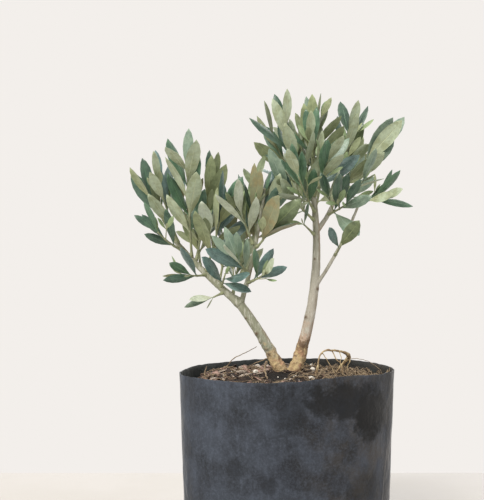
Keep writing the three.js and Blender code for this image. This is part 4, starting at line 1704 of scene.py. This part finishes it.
@dataclass
class Pot:
    """The bag's outline, shared by the film and the compost in it."""

    half_width: float = 71.3
    half_depth: float = 61.5
    rim: float = 125.2
    film: float = 0.5
    taper: float = 0.045
    foot_round: float = 9.0
    fold_depth: float = 0.8
    folds: int = 7
    bulges: int = 3
    fold_drift: float = 0.02
    fold_fade: float = 40.0
    seam: float = 0.1
    rim_band: float = 30.0
    rim_tilt: float = 1.3
    rim_wave: float = 2.5
    rim_wave_at: float = -60.0
    rim_wave_span: float = 22.0
    pinch: float = 0.42
    pinch_span: float = 0.3
    pinch_foot: float = 70.0

    def fold(self, bearing: Array, z: Array) -> Array:
        """Returns the outward shift of the wall in soft folds."""
        waves = np.sin(self.folds * bearing + self.fold_drift * z)
        waves = waves + np.sin(self.bulges * bearing - self.fold_drift * z) / 2
        return self.fold_depth * smoothstep(0, self.fold_fade, z) * waves

    def rim_lift(self, bearing: Array) -> Array:
        """Returns the height that the waving rim adds."""
        off = (np.degrees(bearing) - self.rim_wave_at) / self.rim_wave_span
        return self.rim_tilt * np.cos(bearing) + self.rim_wave * np.exp(-off * off)

    def shape(self, radius: Array, bearing: Array, z: Array) -> Array:
        """Takes points of a round tub to the bag's oval outline.

        Args:
            radius: Distance of each point from the middle of the tub.
            bearing: Bearing of each point, in radians from -pi to pi.
            z: Height of each point.

        Returns:
            The points.
        """
        share = radius / self.half_width
        narrow = 1 - self.taper * (1 - z / self.rim)
        drawn = 1 - self.seam * smoothstep(0.2, 1.0, -np.cos(bearing)) * np.abs(np.sin(bearing))
        wall = (radius + self.fold(bearing, z) * share * share) * narrow
        lift = self.rim_lift(bearing) * smoothstep(self.rim - self.rim_band, self.rim, z) * share
        corner = np.exp(-(((math.pi - np.abs(bearing)) / self.pinch_span) ** 2))
        drawn = drawn * (1 - self.pinch * corner * smoothstep(self.pinch_foot, self.rim, z))
        depth = drawn * np.sin(bearing) * (self.half_depth / self.half_width)
        return np.stack([wall * np.cos(bearing), wall * depth, z + lift], 1)


@dataclass
class NurseryBag:
    """The soft film bag: a thin shell with folds, creases and a waving rim."""

    pot: Pot
    effects: SharedEffects
    around: int = 260
    rows: int = 72
    inner_rows: int = 40
    crinkle: float = 0.28
    frill: float = 0.35
    rim_frill: float = 0.4
    frill_band: float = 9.0
    noise_radius: float = 71.0
    crease_count: int = 26

    def profile(self) -> Array:
        """Draws the film's section, from the underside up and down inside.

        Returns:
            The radius and height of each ring.
        """
        wide, rim = self.pot.half_width, self.pot.rim
        foot, film = self.pot.foot_round, self.pot.film
        under = [(r, 0.0) for r in (1.5, 12, 24, 36, 48, 56)]
        turns = np.linspace(0, math.pi / 2, 8)
        turn = [(wide - foot + foot * math.sin(a), foot - foot * math.cos(a)) for a in turns]
        wall = [(wide, z) for z in np.linspace(foot, rim, self.rows)[1:]]
        lip = [(wide - film * share, rim + 0.12) for share in (0.15, 0.85)]
        inner = [(wide - film, z) for z in np.linspace(rim, foot, self.inner_rows)]
        base = [(wide - film - 3, 3.0), (30.0, film), (1.5, film)]
        return np.array(under + turn + wall + lip + inner + base)

    def creases(self, bearing: Array, z: Array) -> Array:
        """Draws narrow creases and dents in the film.

        Args:
            bearing: Bearing of each point, in radians from -pi to pi.
            z: Height of each point.

        Returns:
            The outward shift of each.
        """
        draws = Draws(Seed.CREASES)
        shift = np.zeros(len(z))
        for _ in range(self.crease_count):
            at = math.radians(draws.spread(180))
            middle, reach = 60 + draws.spread(60), 22 + 26 * draws.next()
            lean, width = draws.spread(0.004), 0.02 + 0.045 * draws.next()
            depth = draws.spread(0.5)
            off = np.angle(np.exp(1j * (bearing - at - lean * (z - middle)))) / width
            span = np.exp(-(((z - middle) / reach) ** 2))
            shift += depth * span * (np.exp(-(off ** 2)) - 0.5 * np.exp(-((off - 1) ** 2)))
        return shift

    def build(self) -> None:
        """Builds the bag."""
        wide, rim = self.pot.half_width, self.pot.rim
        profile = self.profile()
        template = Template(self.around, len(profile))
        radius, z = profile[template.ring].T
        bearing = template.bearing
        points = self.pot.shape(radius, bearing, z)
        outward = np.stack([np.cos(bearing), np.sin(bearing), np.zeros(len(z))], 1)
        round_bag = outward * self.noise_radius
        is_outer = radius > wide - 3
        near_rim = smoothstep(rim - self.frill_band, rim, z)
        crinkles = self.crinkle * crumple(round_bag + points * [0, 0, 0.6], 13)
        frills = near_rim * self.frill * crumple(round_bag, 5.5, 2, 3.0)
        shift = (self.creases(bearing, z) + crinkles + frills) * smoothstep(3, 26, z) * is_outer
        points = points + outward * shift[:, None]
        points[:, 2] += near_rim * self.rim_frill * crumple(round_bag, 9, 2, 8.0) * is_outer
        inner = template.face_ring >= len(profile) - self.inner_rows - 3
        joined = Joined()
        joined.add(template, points, np.where(inner, 1, 0))
        mesh = joined.mesh("film_bag")
        dress(mesh, "film_bag", FILM, self.effects, ["nursery_bag"])


class Crumb(Enum):
    """Kinds of loose pieces on the compost, and the names of what they make up."""

    CHIP = "bark_chips"
    GRAIN = "white_grains"


@dataclass
class Compost:
    """The compost in the bag, with bark chips, white grains and fibres on top."""

    pot: Pot
    effects: SharedEffects
    wall_level: float = 119.5
    pad: float = 16.0
    lump: float = 0.6
    hollow: float = 2.2
    mound: float = 2.0
    corner: float = 6.0
    around: int = 240
    rings: int = 74
    reach: tuple[float, float] = (67.5, 58.0)
    thread_reach: tuple[float, float] = (68.5, 57.0)
    chips: int = 860
    small_grains: int = 46
    fibres: int = 640
    # x, y and size of the white grains that show most
    grains: tuple[tuple[float, float, float], ...] = (
        (-18.5, 42.0, 3.4), (20.5, 42.0, 3.0), (18.0, 0.0, 3.9), (5.5, -18.0, 1.7),
        (-2.0, -26.0, 1.5), (-6.0, -15.0, 1.2), (-4.5, -50.0, 1.3), (-30.0, 30.0, 2.2),
        (-42.0, 22.0, 1.8), (-37.0, 8.0, 1.6), (-50.0, 4.0, 1.5), (-20.5, -10.0, 3.4),
        (-35.0, -12.0, 2.2), (15.5, -27.0, 3.8), (-48.0, 30.0, 1.5), (-12.0, 30.0, 1.8),
    )

    def level(self, x: Array, y: Array) -> Array:
        """Finds the height of the compost's top, with heaps, hollows and crumbs.

        Args:
            x: Places across.
            y: Places back.

        Returns:
            The height at each place.
        """
        wide = self.pot.half_width
        radius = np.hypot(x / wide, y / self.pot.half_depth) * wide
        level = GROUND - GAP - (GROUND - self.wall_level) * smoothstep(self.pad, wide, radius)
        waves = np.sin(x / 5.1 + 1) * np.sin(y / 6.3) + 0.7 * np.sin(x / 2.9 - y / 4.1)
        waves = waves + 0.6 * np.sin(y / 3.3 + 2)
        heap = smoothstep(self.pad, self.pad + 8, np.hypot(x, y))
        at = np.stack([x, y, np.zeros_like(x)], 1)
        crumbs = 0.9 * crumple(at, 6.5, 4, 2.0) + 0.7 * np.abs(crumple(at, 2.4, 3, 5.0))
        level = level + self.mound * np.exp(-((x - 1) / 11) ** 2 - (y / 7.5) ** 2)
        hollow = self.hollow * np.exp(-((x + 5) ** 2 + (y + 19) ** 2) / 110)
        hollow = hollow + self.corner * smoothstep(-53, -67, x)
        return level + self.lump * waves * heap + crumbs * (0.35 + 0.65 * heap) - hollow

    def lay_down(self, joined: Joined, name: str, finishes: Iterable[Finish],
                 is_smooth: bool = True) -> None:
        """Dresses what was collected as a piece of the compost, shaded smooth or faceted."""
        mesh = joined.mesh(name, is_smooth)
        dress(mesh, name, finishes, self.effects, ["potting_soil"])

    def bed(self) -> None:
        """Builds the body of compost: rings drawn in from the film to the middle."""
        inside = self.pot.half_width - self.pot.film - 0.9
        side = [(1.0, 1.0), (inside - 11.0, 1.0), (inside - 4.0, 4.5)]
        side += [(inside - 2.0, z) for z in (10.0, 60.0, 112.0)]
        top = [(r, 0.0) for r in np.linspace(inside, 0.6, self.rings)]
        profile = np.array(side + top)
        template = Template(self.around, len(profile))
        radius, z = profile[template.ring].T
        is_top = template.ring >= len(side)
        points = self.pot.shape(radius, template.bearing, np.where(is_top, self.wall_level, z))
        points[:, 2] = np.where(is_top, self.level(points[:, 0], points[:, 1]), z)
        joined = Joined()
        joined.add(template, points)
        self.lay_down(joined, "compost_bed", [COMPOST])

    def spots(self, count: int, seed: int) -> list[tuple[float, float]]:
        """Scatters places on the compost, clear of the stems and of the hollow.

        Args:
            count: Number of places.
            seed: Seed of the draws.

        Returns:
            The places' x and y.
        """
        wide, deep = self.reach
        draws = Draws(seed)
        found: list[tuple[float, float]] = []
        while len(found) < count:
            x, y = draws.spread(wide), draws.spread(deep)
            edge = math.hypot(x / wide, y / (deep * (0.92 if x < -20 else 1.0)))
            in_hole = math.hypot((x + 6) / 9, (y + 19) / 13) < 1
            at_stem = math.hypot((x - 1) / 10, y / 6) <= 1
            if edge < 1 and x > -61 and not at_stem and not in_hole:
                found.append((x, y))
        return found

    def rows(self, kind: Crumb, draws: Draws) -> list[tuple[float, float, float]]:
        """Draws the sizes of the loose pieces of a kind, every seventh chip a big one.

        Args:
            kind: Chips or grains.
            draws: Where the numbers come from.

        Returns:
            The x, y and size of each.
        """
        if kind is Crumb.GRAIN:
            places = self.spots(self.small_grains, Seed.GRAIN_SPOTS)
            return [*self.grains, *((x, y, 0.5 + 0.5 * draws.next()) for x, y in places)]
        rows = []
        for i, (x, y) in enumerate(self.spots(self.chips, Seed.CHIP_SPOTS)):
            size = 4.6 + 4.4 * draws.next() if i % 7 == 0 else 1.4 + 4.2 * draws.next() ** 1.8
            rows.append((x, y, size * (0.72 if x > 14 else 1.0)))
        return rows

    def rubble(self, kind: Crumb, finishes: Sequence[Finish]) -> None:
        """Joins all loose pieces of one kind.

        Args:
            kind: Chips or grains.
            finishes: Its finishes, the pale ones first.
        """
        is_chip = kind is Crumb.CHIP
        pebble = Template(5, 4)
        ring, across, up = pebble.ring, np.cos(pebble.angle), np.sin(pebble.angle)
        belly = np.array([0.45, 1.0, 0.9, 0.35])[ring]
        draws = Draws(Seed.CHIPS if is_chip else Seed.GRAINS)
        joined = Joined()
        rows = self.rows(kind, draws)
        heights = self.level(*np.array(rows).T[:2])
        for (x, y, size), z in zip(rows, heights):
            slim = 0.3 + 0.35 * draws.next() if is_chip else 0.8 + draws.spread(0.15)
            flat = 0.16 + 0.2 * draws.next() if is_chip else 0.75
            swell = belly * size / 2 * np.array([1 + draws.spread(0.22) for _ in ring])
            long = (ring / 1.5 - 1) * size / 2 * (1 + 0.15 * across)
            wide, high = across * swell * slim, up * swell * flat
            turn, tilt = draws.spread(math.pi), draws.spread(0.55 if is_chip else 0.2)
            lean = long * math.sin(tilt) + high * math.cos(tilt)
            run = long * math.cos(tilt) - high * math.sin(tilt)
            points = np.stack([
                x + run * math.cos(turn) - wide * math.sin(turn),
                y + run * math.sin(turn) + wide * math.cos(turn),
                z + lean + size * flat * (0.3 if is_chip else 0.6),
            ], 1)
            in_hollow = math.hypot((x + 4) / 15, (y + 18) / 18) < 1
            rank = draws.next() ** 1.1 * len(finishes)
            rank += (0.9 if x > 12 else 0.0) + (2.2 if in_hollow else 0.0)
            joined.add(pebble, points, min(int(rank), len(finishes) - 1))
        self.lay_down(joined, kind.value, finishes, False)

    def threads(self) -> None:
        """Joins the fine roots and fibres that lie on the compost, thickest at the right."""
        thread = Template(4, 9)
        draws = Draws(Seed.THREADS)
        joined = Joined()
        t = np.linspace(-0.5, 0.5, thread.rings)
        for x, y in self.spots(self.fibres * 2, Seed.THREAD_SPOTS):
            if len(joined.points) >= self.fibres:
                break
            if draws.next() > 0.35 + 0.65 * float(smoothstep(-10, 40, x)):
                continue
            length, turn, bow = 5 + 11 * draws.next(), draws.spread(math.pi), draws.spread(1.7)
            lift = (1.4 + 2.8 * float(smoothstep(5, 35, x))) * draws.next() ** 2
            step, way = length / thread.rings, turn + bow * t
            px, py = x + np.cumsum(np.cos(way)) * step, y + np.cumsum(np.sin(way)) * step
            if (np.hypot(px / self.thread_reach[0], py / self.thread_reach[1]) < 1).all():
                z = self.level(px, py) + 0.3 + lift * (1 - (2 * t) ** 2)
                radii = (0.14 + 0.28 * draws.next() ** 2) * (1 - 0.5 * np.abs(2 * t) ** 3)
                joined.add(thread, thread.tube(np.stack([px, py, z], 1), radii))
        self.lay_down(joined, "fine_roots", [FIBRE])

    def build(self) -> None:
        """Builds the bed and what lies on it."""
        self.bed()
        self.rubble(Crumb.CHIP, CHIP_TINTS)
        self.rubble(Crumb.GRAIN, [PERLITE])
        self.threads()


@dataclass
class SurfaceRoots:
    """The arched root, its rootlets and the dry roots that stick out of the compost."""

    effects: SharedEffects
    # points that each root passes, and radius of each thin one at its foot
    arch: tuple[Any, ...] = (
        (18.5, -12, 119), (20.4, -11.5, 128), (22.6, -9, 137), (30.5, -3, 138.5),
        (39.5, 5, 136.2), (43.6, 11, 132.5), (40, 14.5, 127.6), (33.5, 18, 119),
    )
    rootlets: tuple[Any, ...] = (
        (0.4, (30.5, -3, 138.3), (33.0, -4, 133.5), (36.5, -5, 129.0), (38, -6, 121.5)),
        (0.32, (24.0, -8, 137.3), (26.5, -8.5, 133.0), (30.0, -9.5, 128.0), (33, -10, 121.0)),
        (0.55, (42.5, 9, 133.5), (38.5, 4, 129.0), (34.5, 0, 124.5), (31.5, -2, 121.0)),
        (0.3, (36.0, 1.5, 137.2), (37.5, 0.5, 133.0), (36.5, -1, 129.5), (38.5, -3, 122.0)),
        (0.38, (21.0, -11, 131.0), (19.0, -13, 127.0), (18.5, -15, 123.5), (19.5, -17, 120.5)),
        (0.42, (23.0, -9, 137.0), (27.0, -5.5, 139.0), (33.5, -1, 138.6), (40.5, 6, 136.4)),
        (0.45, (41.0, 6.5, 135.4), (44.2, 10, 131.0), (42.5, 8, 126.5), (40.5, 4, 121.0)),
    )
    dry: tuple[Any, ...] = (
        (0.42, (-42, 43, 119.8), (-36, 42, 127.0), (-27.5, 41.0, 132.0), (-18.9, 40.0, 136.5)),
        (0.22, (42, 7, 131.5), (48, 2, 132.6), (54, -2, 131.5), (61, -6, 127.5), (63, -8, 123.5)),
        (0.45, (63.5, -12, 122.0), (66.0, -11, 125.0), (66.8, -10, 126.5)),
        (0.28, (66.2, -11, 125.2), (67.6, -10.5, 126.0), (68.0, -10, 128.6)),
        (0.6, (-55, -5, 119.5), (-54.4, -4, 124.0), (-53.2, -3, 127.8)),
        (0.85, (-13.0, -3, 131.0), (-14.2, -9, 127.5), (-14.2, -17, 125.0), (-13.4, -28, 123.0)),
        (0.4, (-12, 1, 133), (-16, 2, 131), (-21, 3, 129), (-28, 4, 123.8)),
    )

    def along(self, joined: Joined, template: Template, points: Sequence[Sequence[float]],
              radii: Callable[[Array], Array], wander: float) -> None:
        """Adds one root along a smooth path.

        Args:
            joined: Where it is added.
            template: Its tube.
            points: Points it passes.
            radii: Radius by the share of its length.
            wander: How far it strays from the curve.
        """
        path = smooth_path(points, template.rings)
        stray = np.stack([crumple(path, 5.0, 2, seed) for seed in (1.0, 4.0, 7.0)], 1)
        thick = radii(np.linspace(0, 1, template.rings)) * (1 + 0.18 * crumple(path, 1.6, 2))
        joined.add(template, template.tube(path + stray * wander, thick))

    def build(self) -> None:
        """Builds the roots."""
        arched, dry, thin = Joined(), Joined(), Template(6, 26)
        self.along(arched, Template(10, 60), self.arch,
                   lambda t: 0.5 + 1.0 * np.exp(-(((t - 0.72) / 0.17) ** 2)), 0.5)
        for size, *points in self.rootlets:
            self.along(arched, thin, points, lambda t, s=size: s * (1 - 0.45 * t), 0.6)
        for size, *points in self.dry:
            self.along(dry, thin, points, lambda t, s=size: s * (1 - 0.5 * t), 0.5)
        for joined, name, finish, node in (
            (arched, "arched_root", ROOT, "surface_root_arch"),
            (dry, "dry_roots", FIBRE, "surface_root_dry"),
        ):
            dress(joined.mesh(name), name, [finish], self.effects, [node])


@dataclass
class Studio:
    """Pale floor, soft light, and the camera at the photograph's angle."""

    effects: SharedEffects
    camera_at: tuple[float, float, float] = (-29.6, -600.0, 205.7)
    focal_px: float = 892.0
    sensor: float = 36.0
    lamps_face: tuple[float, float, float] = (0.0, 0.0, 0.17)

    def floor(self) -> None:
        """Lays the floor."""
        bm = bmesh.new()
        bmesh.ops.create_grid(bm, x_segments=2, y_segments=2, size=1.0)
        bmesh.ops.scale(bm, vec=(1.5, 0.612, 1.0), verts=bm.verts)
        bmesh.ops.translate(bm, vec=(0.0, -0.388, -0.0002), verts=bm.verts)
        mesh = bpy.data.meshes.new("floor")
        bm.to_mesh(mesh)
        bm.free()
        mesh.materials.append(FLOOR.build(self.effects))
        put("floor", mesh)

    def lamp(self, name: str, at: Sequence[float], size: float, power: float, colour: int) -> None:
        """Hangs one soft area lamp that faces the plant.

        Args:
            name: Its name.
            at: Where it hangs, in metres.
            size: Side of the lamp.
            power: Power in watts.
            colour: Its colour.
        """
        light = bpy.data.lights.new(name, "AREA")
        light.shape, light.size, light.energy = "SQUARE", size, power
        light.color = linear(colour)[:3]
        lamp = put(name, light)
        lamp.location = at
        way = Vector(self.lamps_face) - Vector(at)
        lamp.rotation_euler = way.to_track_quat("-Z", "Y").to_euler()

    def build(self) -> None:
        """Sets the stage, the light and the camera."""
        self.floor()
        world = bpy.data.worlds.new("room")
        world.use_nodes = True
        background = world.node_tree.nodes["Background"]
        background.inputs["Color"].default_value = linear(0xF3EFEB)
        background.inputs["Strength"].default_value = 1.0
        self.lamp("key", (-0.9, -1.2, 1.45), 0.7, 34.0, 0xFFFBF6)
        self.lamp("fill", (1.4, -0.6, 0.7), 1.1, 3.0, 0xEEF3FF)
        self.lamp("back", (0.4, 1.3, 0.9), 1.2, 8.0, 0xFFFFFF)
        data = bpy.data.cameras.new("camera")
        data.sensor_width = self.sensor
        data.lens = self.focal_px / PHOTO_HEIGHT * self.sensor
        camera = put("camera", data)
        camera.location = Vector(self.camera_at) * MM
        camera.rotation_euler = (math.pi / 2, 0.0, 0.0)
        scene = bpy.context.scene
        scene.world = world
        scene.camera = camera
        scene.view_settings.view_transform = "Standard"


def main() -> None:
    """Builds the scene, part by part."""
    logging.basicConfig(level=logging.INFO, format="%(name)s: %(message)s")
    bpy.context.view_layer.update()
    effects = SharedEffects()
    plant = Plant()
    log.info("plant: %d masses, %d leaves", len(plant.masses), len(plant.leaves))
    pot = Pot()
    Studio(effects).build()
    NurseryBag(pot, effects).build()
    Compost(pot, effects).build()
    SurfaceRoots(effects).build()
    BarkedLimbs(plant, effects).build()
    Foliage(plant, effects).build()


if __name__ == "__main__":
    main()
